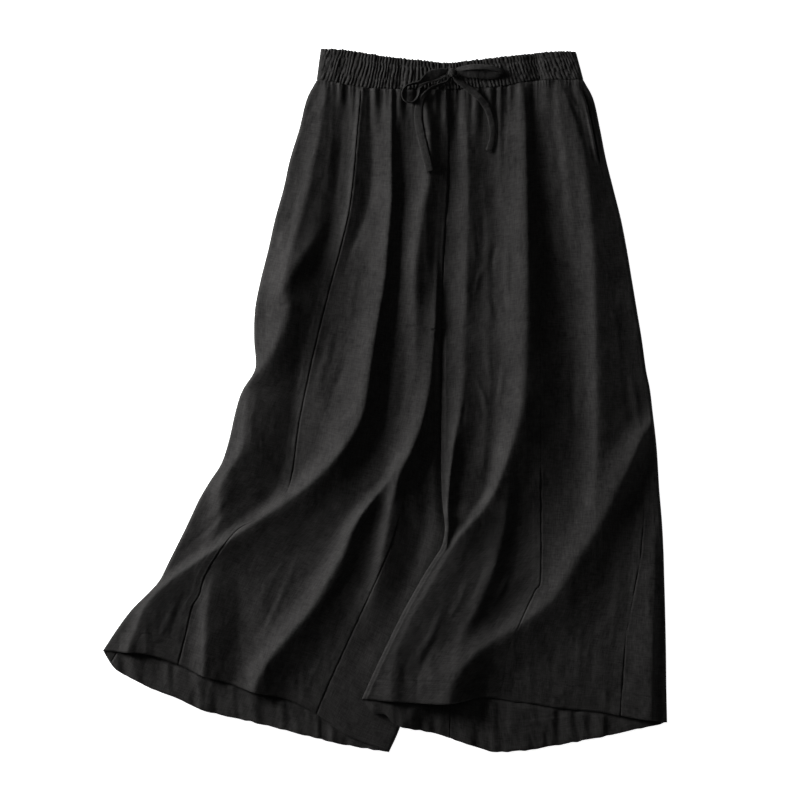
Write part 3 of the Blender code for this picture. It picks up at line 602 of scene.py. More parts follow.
def front_hem(x, seed):
    """The turned-up hem of a front panel: its edge, the puckers in it and its line of stitches."""
    edge = -0.7 * (1 - smooth_step(ABOVE_HEM / 1.6))
    turned = HEM_THICKNESS * (1 - smooth_step((ABOVE_HEM - HEM_TURN) / 2.5))
    stitches = -0.35 * bell((ABOVE_HEM - HEM_SEWN) / 2.0)
    ripple = crumple(x / 5.5, ABOVE_HEM / 40, seed)
    ripple = ripple + 0.6 * crumple(x / 11, ABOVE_HEM / 50, seed + 1)
    fade = smooth_step(ABOVE_HEM / 8 + 0.35) * (1 - smooth_step((ABOVE_HEM - HEM_TURN) / 22))
    return edge + turned + stitches + 0.34 * ripple * fade


def band_puckers(x, y):
    """Small tight puckers just below the waistband, one under each of its gathers."""
    place = (x - BAND_BOTTOM[0][0]) / (BAND_BOTTOM[-1][0] - BAND_BOTTOM[0][0])
    below = across(BAND_BOTTOM, x) - y
    number = BAND_GATHERS * place
    length = 14 + 8 * crumple(number * 0.6, 0.0, 61)
    fullness = 0.7 + 0.5 * crumple(number * 0.8, 0.0, 62)
    fullness = fullness * np.interp(place, GATHERED_PLACE, GATHERED_MOST)
    ridge = np.abs(np.sin(math.pi * (number + 0.5 * crumple(16 * place, 0.0, 52)))) ** 0.8 - 0.45
    sunk = -0.7 * (1 - smooth_step(below / 3.0))
    ridge = 1.3 * fullness * ridge * (1 - smooth_step(below / length))
    return sunk + ridge * smooth_step(below / 1.5 + 0.5)


def row_plan(start, end, places, hem):
    """x and y across each row. Rows are straight, but bow with the waist and the hem near them."""
    plan = start[:, None] + (end - start)[:, None] * places[..., None]
    waist = start[0] + (end[0] - start[0]) * places[..., None]
    foot = start[-1] + (end[-1] - start[-1]) * places[..., None]
    to_waist = across(BAND_BOTTOM, waist[..., 0]) - WAIST_GAP - waist[..., 1]
    to_hem = across(hem, foot[..., 0]) - foot[..., 1]
    plan[..., 1] += to_waist * (1 - ROWS[:, None]) ** 5 + to_hem * ROWS[:, None] ** 4
    return plan


def places_across(start, end, columns, seams):
    """How far across each row the columns lie, in millimetres, closest beside a seam."""
    width = np.maximum(np.linalg.norm(end - start, axis=1), NARROWEST)[:, None]
    head, tail = (np.array(SEAM_STEPS if seamed else SEAM_STEPS[:1]) for seamed in seams)
    even = np.linspace(0, 1, columns + 3 - len(head) - len(tail))
    middle = head[-1] + (width - tail[-1] - head[-1]) * even
    before = np.broadcast_to(head[:-1], (len(width), len(head) - 1))
    after = width - np.broadcast_to(tail[:-1][::-1], (len(width), len(tail) - 1))
    return np.hstack([before, middle, after]), width


def front_run(
    start, end, relief, hem, columns, seed, seams=(True, True), first_row=0, open_seams=(1.0, 1.0)
):
    """A stretch of a front panel, from one line to another, with its seams and its hem."""
    distance, width = places_across(start, end, columns, seams)
    x, y = np.moveaxis(row_plan(start, end, distance / width, hem), -1, 0)
    z = relief.at(x, y) + band_puckers(x, y) + front_hem(x, seed)
    if seams[0]:
        z = z + open_seams[0] * beside_seam(distance, seed + 2, 0.0)
    if seams[1]:
        z = z + open_seams[1] * beside_seam(width - distance, seed + 4, 1.0)
    return Run(np.stack([x, y, z], axis=-1), -0.5 * width, first_row=first_row)


def back_run(start, end, level, hems, columns, seed, seams, first_row=0, folds=()):
    """A stretch of a back layer, face down. Its hem is turned up inside, and where it shows below
    the front's hem it has upright folds and puckers."""
    back_hem, front_hem_line = hems
    distance, width = places_across(start, end, columns, seams)
    x, y = np.moveaxis(row_plan(start, end, distance / width, back_hem), -1, 0)
    z = level(x, y)
    near_edge = smooth_step(np.minimum(distance, width - distance) / 12)
    creases = np.abs(crumple(x / 31, y / 60, seed))
    creases = creases + 0.5 * np.abs(crumple(x / 13, y / 34, seed + 1))
    z = z + 0.75 * creases * near_edge * smooth_step(ABOVE_HEM / 60 - 0.5)
    across_hem = x / 6.5 + 0.35 * crumple(x / 20, ABOVE_HEM / 60, seed + 2)
    ripple = crumple(across_hem, ABOVE_HEM / 35, seed + 3) + 0.8 * crumple(x / 13, 0.0, seed + 4)
    fine = crumple(x / 3.4 + 0.1 * ABOVE_HEM, ABOVE_HEM / 16, seed + 6)
    puckers = np.clip(0.45 + 0.95 * ripple, 0, 2.0) + 0.3 * fine
    for crest, height, left_width, right_width in folds:
        away = (x + 0.06 * ABOVE_HEM - crest) / np.where(x < crest, left_width, right_width)
        puckers = puckers + height * bell(away)
    uncovered = smooth_step((across(front_hem_line, x) - y + 3) / 9)
    turned = 0.5 * (1 - smooth_step((ABOVE_HEM - HEM_TURN) / 1.5))
    swelling = turned + puckers * uncovered * smooth_step(ABOVE_HEM / 9 + 0.55)
    from_seam = np.minimum(
        distance if seams[0] else FAR_OFF, width - distance if seams[1] else FAR_OFF
    )
    swelling = swelling * smooth_step(from_seam / 1.6 + 0.2)
    swelling = swelling - 0.35 * (1 - smooth_step(from_seam / 0.9))
    y = y - 0.7 * crumple(x / 7, 0.0, seed + 5) * bell(ABOVE_HEM / 12) * smooth_step(from_seam / 6)
    return Run(np.stack([x, y, z], axis=-1), -0.5 * width, swelling, first_row)


def bend(edge, before, after, first_row=0):
    """The rounded fold at an edge, from the last column of one layer to the first of the next."""
    start, end = before.points[:, -1], after.points[:, 0]
    middle, rise = 0.5 * (start[:, 2] + end[:, 2]), 0.5 * (start[:, 2] - end[:, 2])
    points = []
    for angle in np.linspace(0.5 * math.pi, -0.5 * math.pi, BEND_STEPS + 2)[1:-1]:
        inward = (start if angle > 0 else end)[:, :2] - edge
        plan = edge + inward * (1 - math.cos(angle))
        level = 0.7 * math.sin(angle) + 0.3 * angle / (0.5 * math.pi)
        points.append(np.column_stack([plan, middle + rise * level]))
    return Run(np.stack(points, axis=1), 0.0, first_row=first_row)


def facing_out(points):
    """The outward normal at each point of a grid that runs down its rows and across its columns."""
    normals = np.cross(np.gradient(points, axis=0), np.gradient(points, axis=1))
    return normals / np.maximum(np.linalg.norm(normals, axis=-1, keepdims=True), 1e-9)


def upright_at_seams(normals):
    """Normals that are upright along the waist and both seams, so that panels meet squarely."""
    for edge in (np.s_[0], np.s_[:, 0], np.s_[:, -1]):
        rise = normals[edge][..., 2:]
        upright = np.sign(rise) * (0.0, 0.0, 1.0)
        normals[edge] = np.where(np.abs(rise) > UPRIGHT_FROM, upright, normals[edge])
    return normals


def stored(mesh, name):
    """What each vertex of a mesh keeps under a name."""
    values = np.zeros(len(mesh.vertices), np.int32)
    mesh.attributes[name].data.foreach_get("value", values)
    return values


def shell(name, outer, inner, grain, first_row, material):
    """A closed thin wall between two grids of points, with the weave's directions as its UV map."""
    row_count, column_count = outer.shape[:2]
    cloth = bmesh.new()
    bmesh.ops.create_grid(cloth, x_segments=column_count - 1, y_segments=row_count - 1, size=0.5)
    row_of = cloth.verts.layers.int.new("row")
    column_of = cloth.verts.layers.int.new("column")
    inside = cloth.verts.layers.int.new("inside")
    for vert in cloth.verts:
        vert[row_of] = round((0.5 - vert.co.y) * (row_count - 1))
        vert[column_of] = round((vert.co.x + 0.5) * (column_count - 1))
    unused = [vert for vert in cloth.verts if vert[row_of] < first_row[vert[column_of]]]
    bmesh.ops.delete(cloth, geom=unused, context="VERTS")
    extruded = bmesh.ops.extrude_face_region(cloth, geom=cloth.faces[:], use_keep_orig=True)
    for vert in extruded["geom"]:
        if isinstance(vert, bmesh.types.BMVert):
            vert[inside] = 1
            vert.co.z = -0.1
    bmesh.ops.recalc_face_normals(cloth, faces=cloth.faces[:])
    mesh = bpy.data.meshes.new(name)
    cloth.to_mesh(mesh)
    cloth.free()
    row, column, within = (stored(mesh, key) for key in ("row", "column", "inside"))
    places = np.where(within[:, None] == 1, inner[row, column], outer[row, column]) * MM
    mesh.vertices.foreach_set("co", places.ravel())
    corners = np.zeros(len(mesh.loops), np.int32)
    mesh.loops.foreach_get("vertex_index", corners)
    uv_map = mesh.uv_layers.new(name="grain")
    uv_map.data.foreach_set("uv", (grain[row, column][corners] * MM).ravel())
    for key in ("row", "column", "inside"):
        mesh.attributes.remove(mesh.attributes[key])
    mesh.shade_smooth()
    mesh.set_sharp_from_angle(angle=SHARP_ANGLE)
    mesh.materials.append(material)
    mesh.update()
    return placed(name, mesh)


def worn(piece, node=None):
    """Rides a piece on the garment's one body, in place of the node that it stands for."""
    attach(piece, "root")
    if node:
        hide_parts(node)
    return piece


def panel(node, runs):
    """Joins runs of cloth into one panel, which stands for a node of the garment."""
    points = np.concatenate([run.points for run in runs], axis=1)
    swelling = np.concatenate([run.swelling for run in runs], axis=1)
    first_row = np.concatenate([np.full(run.points.shape[1], run.first_row) for run in runs])
    grain, reached = [], runs[0].grain[:, :1]
    for run in runs:
        grain.append(run.grain - run.grain[:, :1] + reached)
        reached = grain[-1][:, -1:]
    across_grain = np.concatenate(grain, axis=1)
    for column in np.flatnonzero(first_row):
        first = first_row[column]
        points[first - 1, column] = 2 * points[first, column] - points[first + 1, column]
    wall = (CLOTH_THICKNESS + swelling)[..., None]
    inner = points - wall * upright_at_seams(facing_out(points))
    inner[..., 2] = np.maximum(inner[..., 2], LOWEST_INSIDE)
    weave = np.stack([across_grain, np.broadcast_to(DOWN, across_grain.shape)], axis=-1)
    piece = shell(node + "_cloth", points, inner, weave, first_row, body_linen)
    return worn(piece, node)


def covered_by_left_leg(x, y):
    """1 where the left leg lies on the right one, and 0 elsewhere."""
    inside = x - down_line(LEFT_INNER_FOLD, y)
    return smooth_step((inside + 10) / 10) * smooth_step((-110 - y) / 25)


def on_table(x, y):
    """The level of what lies on the table itself."""
    return np.zeros(x.shape)


def settled(x, y, hem):
    """How far the front sinks towards the back near its hem, where nothing holds it up."""
    return HEM_SETTLES * (1 - smooth_step((y - across(hem, x)) / SETTLING_REACH))


def front_relief(level, covered, hem, folds, creases, seed):
    """The relief of one leg's front, above what it lies on and calm where something covers it."""
    relief = Relief(REST_HEIGHT)
    relief.height += level(relief.east, relief.north)
    relief.height -= settled(relief.east, relief.north, hem)
    for table_rows in folds.values():
        relief.fold(table_rows)
    for row in GATHERS + FINE_GATHERS:
        relief.gather(*row)
    for row in creases:
        relief.crease(*row)
    relief.crumpled(seed, 1 - covered(relief.east, relief.north))
    return relief


body_linen = linen("body_linen")
right_relief = front_relief(
    on_table, covered_by_left_leg, RIGHT_FRONT_HEM, RIGHT_FOLDS, RIGHT_CREASES, seed=11
)
right_edge = along(RIGHT_EDGE, ROWS)
right_side_seam = moved(right_edge, RIGHT_SIDE_SEAM_INSET)
right_front_seam = along(RIGHT_FRONT_SEAM, ROWS)
RIGHT_HEMS = (RIGHT_BACK_HEM, RIGHT_FRONT_HEM)
right_seam_shown = shown(right_front_seam, (400, -108), (-142, -340))
tucked_under = back_run(
    moved(right_side_seam, HALF_LAP), moved(right_edge, EDGE_DEPTH), on_table, RIGHT_HEMS,
    columns=6, seed=101, seams=(True, False),
)
outer_front = front_run(
    moved(right_edge, EDGE_DEPTH), moved(right_front_seam, -HALF_GAP), right_relief,
    RIGHT_FRONT_HEM, columns=58, seed=110, seams=(False, True), open_seams=(1.0, right_seam_shown),
)
right_front_side = panel(
    "right_front_side", [tucked_under, bend(right_edge, tucked_under, outer_front), outer_front]
)

# ------------------------------------------------------------------ right centre front panel
# The middle of the right leg's front, from the slanting seam to the centre front and, below the
# crotch, to the inseam. Two deep folds run down it, where the linen has swung to the side.

CENTRE_LINE = [(78, 372.7), (76, 265), (71, 181), (67.5, 85)]
RIGHT_INSEAM = [
    (61.5, 85), (57, 45), (44, -35), (14, -153), (-2.5, -197), (-27, -251), (-66, -335),
    (-82, -373),
]
RIGHT_INNER_FOLD = [
    (67.5, 85), (71, 0), (73, -95), (74, -173), (66, -240), (42, -323), (18, -392), (4.8, -421.8),
]
LAPPED_HEIGHT = 2.7
LAPPED_SPAN = (88.0, -165.0)


def waist_to_hem(upper, lower):
    """Points for each row on a line in two parts that meet at the crotch."""
    above = along(upper, ROWS / CROTCH)
    below = along(lower, (ROWS - CROTCH) / (1 - CROTCH))
    return np.where((ROWS < CROTCH)[:, None], above, below)


def lapped(x, y):
    """1 along the right leg's inner edge, where the left leg laps over it, and 0 elsewhere."""
    inside = x - down_line(LEFT_INNER_FOLD, y)
    top, bottom = LAPPED_SPAN
    under = smooth_step((inside + 8.5) / 8)
    return under * smooth_step((top - y) / 24) * smooth_step((y - bottom) / 40)


pressed = lapped(right_relief.east, right_relief.north)
right_relief.height -= pressed * (right_relief.height - LAPPED_HEIGHT)
right_inseam = waist_to_hem(CENTRE_LINE, RIGHT_INSEAM)
right_inseam_shown = shown(right_inseam, (400, 80), (-142, -440))
right_centre_run = front_run(
    moved(right_front_seam, HALF_GAP), moved(right_inseam, -HALF_GAP), right_relief,
    RIGHT_FRONT_HEM, columns=92, seed=120, open_seams=(right_seam_shown, right_inseam_shown),
)
right_front_centre = panel("right_front_centre", [right_centre_run])

# ------------------------------------------------------------------ right back panel
# The back of the right leg, which lies face down on the table. It comes round the leg's inner edge
# to the inseam, and its turned-up hem shows below the front's, because the front is pulled up.

# Upright folds of the hem: x, height, width of the left and right slope
RIGHT_HEM_FOLDS = [
    (-300, 1.4, 12, 12), (-258, 1.0, 8, 6), (-216, 2.2, 22, 14), (-182, 0.9, 6, 6),
    (-155, 1.9, 13, 11), (-122, 1.2, 9, 7), (-104, 1.4, 9, 8), (-79, 1.6, 9, 1.8), (-62, 1.2, 6, 8),
    (-36, 0.9, 9, 7), (-14, 0.8, 10, 8),
]


def seat_edge(fold, way):
    """A leg's middle: the centre seam above the crotch, and below it the fold's inner edge."""
    return moved(fold, way * np.where(ROWS < CROTCH, HALF_GAP, EDGE_DEPTH))


right_inner_fold = waist_to_hem(CENTRE_LINE, RIGHT_INNER_FOLD)
right_wrap = front_run(
    moved(right_inseam, HALF_GAP), moved(right_inner_fold, -EDGE_DEPTH), right_relief,
    RIGHT_FRONT_HEM, columns=16, seed=130, seams=(True, False), first_row=CROTCH_ROW,
    open_seams=(right_inseam_shown, 1.0),
)
right_seat = back_run(
    seat_edge(right_inner_fold, -1), moved(right_side_seam, -HALF_LAP), on_table, RIGHT_HEMS,
    columns=140, seed=140, seams=(False, True), folds=RIGHT_HEM_FOLDS,
)
right_back = panel(
    "right_back",
    [right_wrap, bend(right_inner_fold, right_wrap, right_seat, CROTCH_ROW), right_seat],
)

# ------------------------------------------------------------------ left centre front panel
# The middle of the left leg's front. It overlaps the right leg below the crotch, where its inner
# edge is folded under to the inseam, and its longest fold sweeps from the waist to that corner.

LEG_OVER_LEG = 7.7
LAP_LEVEL = 2.9
BACK_SLOPE, FRONT_SLOPE = 26.0, 85.0
# Where the left leg begins to lap over the right one and to lie on it, and over how much it rises
LAP_BELOW, OVER_BELOW, LEG_RISE = 86.0, -120.0, 22.0
LEFT_FRONT_SEAM = [
    (184, 381), (182, 241), (186, 121), (187, 1), (187, -95), (187, -209), (180, -228), (162, -266),
    (148, -300), (138, -358),
]
LEFT_INSEAM = [(79, 85), (82, -95), (85, -174), (82, -240), (79, -323), (78, -405)]
LEFT_FRONT_HEM = [
    (-27.6, -357), (18, -361), (76, -363), (119, -356), (152, -361), (174, -363), (210, -369),
    (258, -374), (306, -382), (338.4, -386),
]
LEFT_BACK_HEM = [
    (-27.6, -357), (-17, -373), (0, -376), (16, -390), (54, -398), (78, -405), (114, -417),
    (138, -421.8), (186, -417), (258, -404), (338.4, -386),
]
LEFT_FOLDS = {
    "edge": [
        (97, 160, 1, 26, 20), (97, 130, 3, 28, 24), (97, 100, 4.4, 29, 30), (96, 60, 4.8, 29, 32),
        (94, 20, 5, 27, 30), (90, -15, 5.4, 22, 25), (84, -45, 6.2, 16, 17),
        (79.5, -75, 6.5, 11, 12), (76, -105, 6, 8, 11), (74, -140, 6, 6, 10),
        (73.5, -165, 4.5, 6, 6), (73, -176, 2, 5, 5),
    ],
    "centre": [
        (95, 370, 2, 9, 10), (97, 330, 3.5, 14, 14), (99, 285, 5, 22, 20), (100, 241, 5.6, 28, 24),
        (100, 200, 5.4, 31, 26), (99, 165, 5, 31, 26), (98, 130, 2.8, 30, 24),
        (97, 100, 0.8, 28, 20),
    ],
    "second": [
        (118, 260, 0.3, 16, 12), (121, 230, 1, 20, 14), (123, 200, 1.5, 24, 16),
        (124, 150, 1.8, 26, 16), (124, 100, 2.2, 28, 16), (124, 50, 2.6, 28, 16),
        (124, 0, 3, 28, 16), (122, -30, 2.8, 26, 15), (119, -60, 1.8, 22, 13),
        (116, -85, 0.5, 18, 10),
    ],
    "beside_hip": [
        (205, 373, 2, 18, 10), (209, 345, 3, 24, 16), (214, 310, 3.4, 28, 22),
        (220, 265, 3.2, 30, 26), (226, 215, 2.6, 30, 26), (231, 170, 1.3, 26, 22),
        (234, 140, 0.4, 20, 16),
    ],
    "long": [
        (166, 373, 3, 16, 9), (167, 352, 5, 26, 11), (168, 325, 6.5, 40, 14),
        (169, 265, 9.5, 54, 18), (170, 193, 13.5, 62, 24), (170, 121, 16, 66, 32),
        (169, 61, 17.5, 66, 40), (167, 20, 19, 60, 48), (165, 0, 19, 50, 50),
        (161, -23, 19, 45, 54), (154, -47, 18, 38, 58), (146, -71, 17, 27, 60),
        (137, -95, 15, 18, 56), (123, -121, 12, 12, 52), (103, -146, 8, 10, 46),
        (89, -163, 5.5, 11, 44), (72, -192, 3.2, 14, 42), (45, -239, 2.7, 16, 40),
        (32, -263, 2.6, 17, 40), (21, -287, 2.8, 20, 36), (10, -322, 3.5, 28, 30),
        (8, -357, 5, 34, 28),
    ],
    "knee": [
        (148, -110, 1, 19, 12), (142, -155, 4.5, 32, 17), (131, -199, 6.5, 38, 19),
        (114, -239, 5.5, 36, 22), (97, -276, 3, 30, 22), (84, -302, 0.8, 22, 20),
    ],
    "hip": [
        (214, 372, 3, 24, 12), (220, 356, 5, 30, 16), (230, 325, 6.5, 38, 24),
        (239, 290, 8.5, 43, 30), (245, 241, 9.5, 42, 36), (250, 181, 10, 40, 44),
        (253, 97, 10, 36, 50), (254, 30, 10, 32, 52), (255, -30, 9, 30, 50), (254, -80, 7, 28, 50),
        (250, -120, 4, 26, 40), (246, -145, 1, 20, 30),
    ],
    "hem": [
        (324, -12, 2, 14, 8), (318, -29, 5, 24, 14), (306, -47, 8, 34, 18), (296, -71, 10, 44, 22),
        (284, -95, 10.5, 52, 26), (272, -119, 11, 58, 30), (260, -143, 11, 56, 34),
        (246, -167, 11, 56, 38), (230, -191, 11.5, 52, 42), (216, -215, 11.2, 47, 46),
        (200, -239, 9.8, 42, 48), (168, -265, 9, 34, 48), (132, -287, 9.2, 34, 44),
        (107, -306, 11, 38, 40), (90, -326, 12.5, 54, 36), (80, -351, 13.5, 70, 34),
        (76, -385, 12.5, 74, 32),
    ],
    "side": [
        (323, -150, 1, 26, 8), (323, -190, 3, 44, 8), (323, -240, 4.5, 58, 8),
        (321, -300, 5, 64, 9), (320, -350, 5, 68, 10), (319, -390, 5, 68, 10),
    ],
    "pocket": [
        (232, 373, 1.5, 12, 6), (238, 356, 3, 14, 6), (244, 335, 3, 14, 6), (249, 315, 2, 12, 6),
        (253, 295, 0.5, 10, 6),
    ],
}
LEFT_CREASES = [
    (0.9, 5, [(121, 164), (112, 146), (107, 122)]),
    (-0.9, 6, [(133, 190), (128, 168), (126, 140)]),
    (-0.9, 6, [(124, 132), (132, 112), (136, 92)]),
    (-0.5, 7, [(112, 62), (122, 30), (126, -4)]),
    (0.9, 5, [(108, 28), (116, 10), (122, -12)]),
    (-0.7, 4, [(98, 2), (94, -16), (92, -36)]),
    (0.7, 6, [(146, 60), (140, 20), (134, -20)]),
    (0.6, 5, [(104, 210), (108, 180), (108, 150)]),
    (-0.6, 5, [(116, 230), (118, 200), (118, 172)]),
    (0.7, 6, [(148, 200), (146, 150), (150, 100)]),
    (0.8, 7, [(70, -246), (56, -280), (34, -318)]),
    (-0.8, 7, [(66, -276), (50, -306), (40, -336)]),
    (-0.6, 6, [(30, -300), (24, -326), (26, -346)]),
    (0.7, 6, [(100, -210), (90, -240), (74, -262)]),
    (0.8, 6, [(152, -196), (142, -222), (126, -250)]),
    (-0.6, 6, [(120, -190), (112, -216), (98, -246)]),
    (-0.7, 6, [(206, 300), (212, 262), (214, 224)]),
    (0.7, 6, [(196, 330), (200, 296), (200, 262)]),
    (0.7, 7, [(232, 60), (234, 20), (234, -20)]),
    (-0.7, 6, [(222, 30), (226, -10), (224, -50)]),
    (0.6, 6, [(272, 120), (278, 80), (282, 40)]),
    (-0.7, 7, [(284, 60), (290, 10), (294, -30)]),
    (0.7, 6, [(296, 30), (302, -10), (306, -44)]),
    (0.7, 7, [(282, -200), (276, -250), (272, -300)]),
    (-0.6, 7, [(296, -180), (292, -230), (286, -290)]),
    (0.6, 6, [(238, -262), (232, -300), (232, -340)]),
    (-0.6, 6, [(252, -280), (248, -316), (250, -350)]),
    (0.6, 6, [(316, -200), (316, -250), (320, -300)]),
    (-0.6, 6, [(206, -290), (200, -320), (202, -352)]),
    (0.5, 5, [(176, -300), (172, -330), (176, -356)]),
    (0.6, 5, [(219, 372), (226, 356), (233, 344)]),
    (-0.6, 4, [(222, 358), (228, 346), (234, 330)]),
    (0.5, 5, [(226, 316), (230, 296), (232, 270)]),
]


def left_leg_level(x, y, slope=BACK_SLOPE):
    """How high the left leg lies on the right one, and beside it as it comes down to the table."""
    over = 1 - smooth_step((x - down_line(RIGHT_INNER_FOLD, y) - 3) / slope)
    lap = LAP_LEVEL * smooth_step((LAP_BELOW - y) / LEG_RISE)
    return over * (lap + (LEG_OVER_LEG - LAP_LEVEL) * smooth_step((OVER_BELOW - y) / LEG_RISE))


def left_front_level(x, y):
    """The same for the front, which comes down more slowly than the back."""
    return left_leg_level(x, y, FRONT_SLOPE)


left_relief = front_relief(
    left_front_level, on_table, LEFT_FRONT_HEM, LEFT_FOLDS, LEFT_CREASES, seed=31
)
left_inner_fold = waist_to_hem(CENTRE_LINE, LEFT_INNER_FOLD)
left_inseam = waist_to_hem(CENTRE_LINE, LEFT_INSEAM)
left_front_seam = along(LEFT_FRONT_SEAM, ROWS)
left_seam_shown = shown(left_front_seam, (-80, -276))
LEFT_HEMS = (LEFT_BACK_HEM, LEFT_FRONT_HEM)
# Upright folds of the back's hem: x, height, width of the left and right slope
LEFT_HEM_FOLDS = [
    (10, 0.8, 9, 7), (48, 1.0, 10, 10), (68, 0.9, 7, 7), (97, 1.1, 11, 10), (166, 3.2, 44, 50),
    (214, -0.4, 12, 10), (240, 0.6, 10, 8), (262, 0.8, 9, 8), (292, 0.7, 10, 8),
]
left_wrap = back_run(
    moved(left_inseam, HALF_LAP), moved(left_inner_fold, EDGE_DEPTH), left_leg_level, LEFT_HEMS,
    columns=38, seed=150, seams=(True, False), first_row=CROTCH_ROW, folds=LEFT_HEM_FOLDS,
)
left_centre_run = front_run(
    seat_edge(left_inner_fold, 1), moved(left_front_seam, -HALF_GAP), left_relief, LEFT_FRONT_HEM,
    columns=88, seed=160, open_seams=(1.0, left_seam_shown),
)
left_front_centre = panel(
    "left_front_centre",
    [left_wrap, bend(left_inner_fold, left_wrap, left_centre_run, CROTCH_ROW), left_centre_run],
)

# ------------------------------------------------------------------ left side front panel
# The outer front of the left leg. Its seam to the centre panel kinks where two folds cross it, and
# the side seam is left open near the waist as the pocket's mouth, with a rolled, stitched lip.

POCKET_MOUTH = (376.0, 280.0)
POCKET_GAP = 1.8
LEFT_SIDE_SEAM_INSET = [
    (384, 8), (280, 8), (120, 6), (-40, 7), (-107, 17), (-191, 28), (-239, 38), (-287, 48),
    (-386, 56),
]
LEFT_EDGE = [
    (238, 384), (250, 361), (258, 325), (265, 289), (274, 253), (283, 217), (290, 181), (296, 145),
    (302, 109), (308, 73), (313, 37), (318, 12), (322, -23), (326, -59), (329, -107), (332, -143),
    (334, -180), (335, -215), (336, -251), (337, -300), (337.5, -345), (338.4, -386),
]


def left_side_seam_of(edge):
    """The side seam, this far in from the outer edge of the left leg."""
    inset = np.array(LEFT_SIDE_SEAM_INSET, float)
    return moved(edge, -np.interp(-edge[:, 1], -inset[:, 0], inset[:, 1]))


left_edge = along(LEFT_EDGE, ROWS)
left_side_seam = left_side_seam_of(left_edge)
pocket_open = between(left_side_seam[:, 1], *POCKET_MOUTH)
pocket_lip = moved(left_side_seam, -HALF_GAP - POCKET_GAP * pocket_open)
stitched_deep = np.clip(0.55 + 0.9 * crumple(DOWN / 7, 0.0, 45), 0.05, 1)
side_seam_shown = np.maximum(
    stitched_deep * shown(left_side_seam, (-95, -440)), pocket_open[:, None]
)
left_side_run = front_run(
    moved(left_front_seam, HALF_GAP), pocket_lip, left_relief, LEFT_FRONT_HEM, columns=76,
    seed=170, open_seams=(left_seam_shown, side_seam_shown),
)
from_lip = np.linalg.norm(left_side_run.points[..., :2] - pocket_lip[:, None], axis=2)
rolled_lip = 0.8 * bell((from_lip - 1.6) / 2.6) - 0.3 * bell((from_lip - 5.5) / 1.4)
left_side_run.points[..., 2] += rolled_lip * between(left_side_run.points[..., 1], *POCKET_MOUTH)
left_front_side = panel("left_front_side", [left_side_run])

# ------------------------------------------------------------------ left back panel
# The back of the left leg. It comes round the outer edge to the side seam on top, and its inner
# part lies over the right leg. Its turned-up hem shows along the bottom.

left_turned = front_run(
    moved(left_side_seam, HALF_GAP), moved(left_edge, -EDGE_DEPTH), left_relief, LEFT_FRONT_HEM,
    columns=26, seed=180, seams=(True, False), open_seams=(side_seam_shown, 1.0),
)
left_seat = back_run(
    moved(left_edge, -EDGE_DEPTH), moved(left_inseam, -HALF_LAP), left_leg_level, LEFT_HEMS,
    columns=126, seed=190, seams=(False, True), folds=LEFT_HEM_FOLDS,
)
left_back = panel(
    "left_back", [left_turned, bend(left_edge, left_turned, left_seat), left_seat]
)

# ------------------------------------------------------------------ left pocket facing
# A straight strip of the same linen, sewn inside the pocket's mouth so that the bag doesn't show.
# It lies between the front and the back, a little below the lip.

FACING_WIDTH = 14.0
FACING_LEVEL = 3.3
FACING_CLOTH = 0.9
FACING_ROWS = 60
FACING_COLUMNS = 9

facing_y = np.linspace(*POCKET_MOUTH, FACING_ROWS)
facing_seam = left_side_seam_of(np.column_stack([down_line(LEFT_EDGE, facing_y), facing_y]))
facing_x = facing_seam[:, :1] + np.linspace(-FACING_WIDTH, 1, FACING_COLUMNS)
facing_y = np.broadcast_to(facing_y[:, None], facing_x.shape)
facing_z = FACING_LEVEL + 0.25 * crumple(facing_x / 6, facing_y / 9, 41)
facing_top = np.stack([facing_x, facing_y, facing_z], axis=-1)
pocket_facing = shell(
    "left_pocket_facing_cloth", facing_top, facing_top - (0.0, 0.0, FACING_CLOTH),
    facing_top[..., :2], np.zeros(FACING_COLUMNS, int), body_linen,
)
worn(pocket_facing, "left_pocket_facing")

# ------------------------------------------------------------------ front of the waistband
# A linen casing over wide elastic, stitched through in two rows, so that it gathers into small
# folds. They lean with the pull of the elastic, and stand up as a frill along the top edge.

BAND_TOP = [
    (-77, 421.8), (-48, 420.5), (6, 412), (54, 407), (78, 405), (102, 408), (138, 412), (174, 416),
    (210, 419), (229, 418),
]
BAND_LEVEL = 6.0
BAND_RUFFLE = 1.9
BAND_CLOTH = 1.3
BAND_FULLNESS = 1.9
BAND_ROW_COUNT = 46
BAND_COLUMNS = 620
TUCK_COLUMNS = 4
STITCH_ROWS = (0.29, 0.77)
# How far the gathers lean over the band's depth, by place across it, in gathers
LEAN_PLACE = (0.0, 0.12, 0.27, 0.44, 0.64, 1.0)
LEAN = (2.2, 2.1, 1.1, 0.0, -0.8, -1.3)
FULL_UP = (0.0, 0.05, 0.2, 0.29, 0.38, 0.53, 0.68, 0.77, 0.85, 0.95, 1.0)
FULLNESS = (0.6, 0.85, 0.9, 0.55, 0.95, 1.0, 0.95, 0.5, 0.9, 1.0, 0.85)
# Where the band dips with the folds below it: place, depth, reach to the left and right of it
BAND_DIPS = ((0.838, 3.2, 0.062, 0.03), (0.312, 1.5, 0.024, 0.02), (0.09, 0.9, 0.03, 0.03))


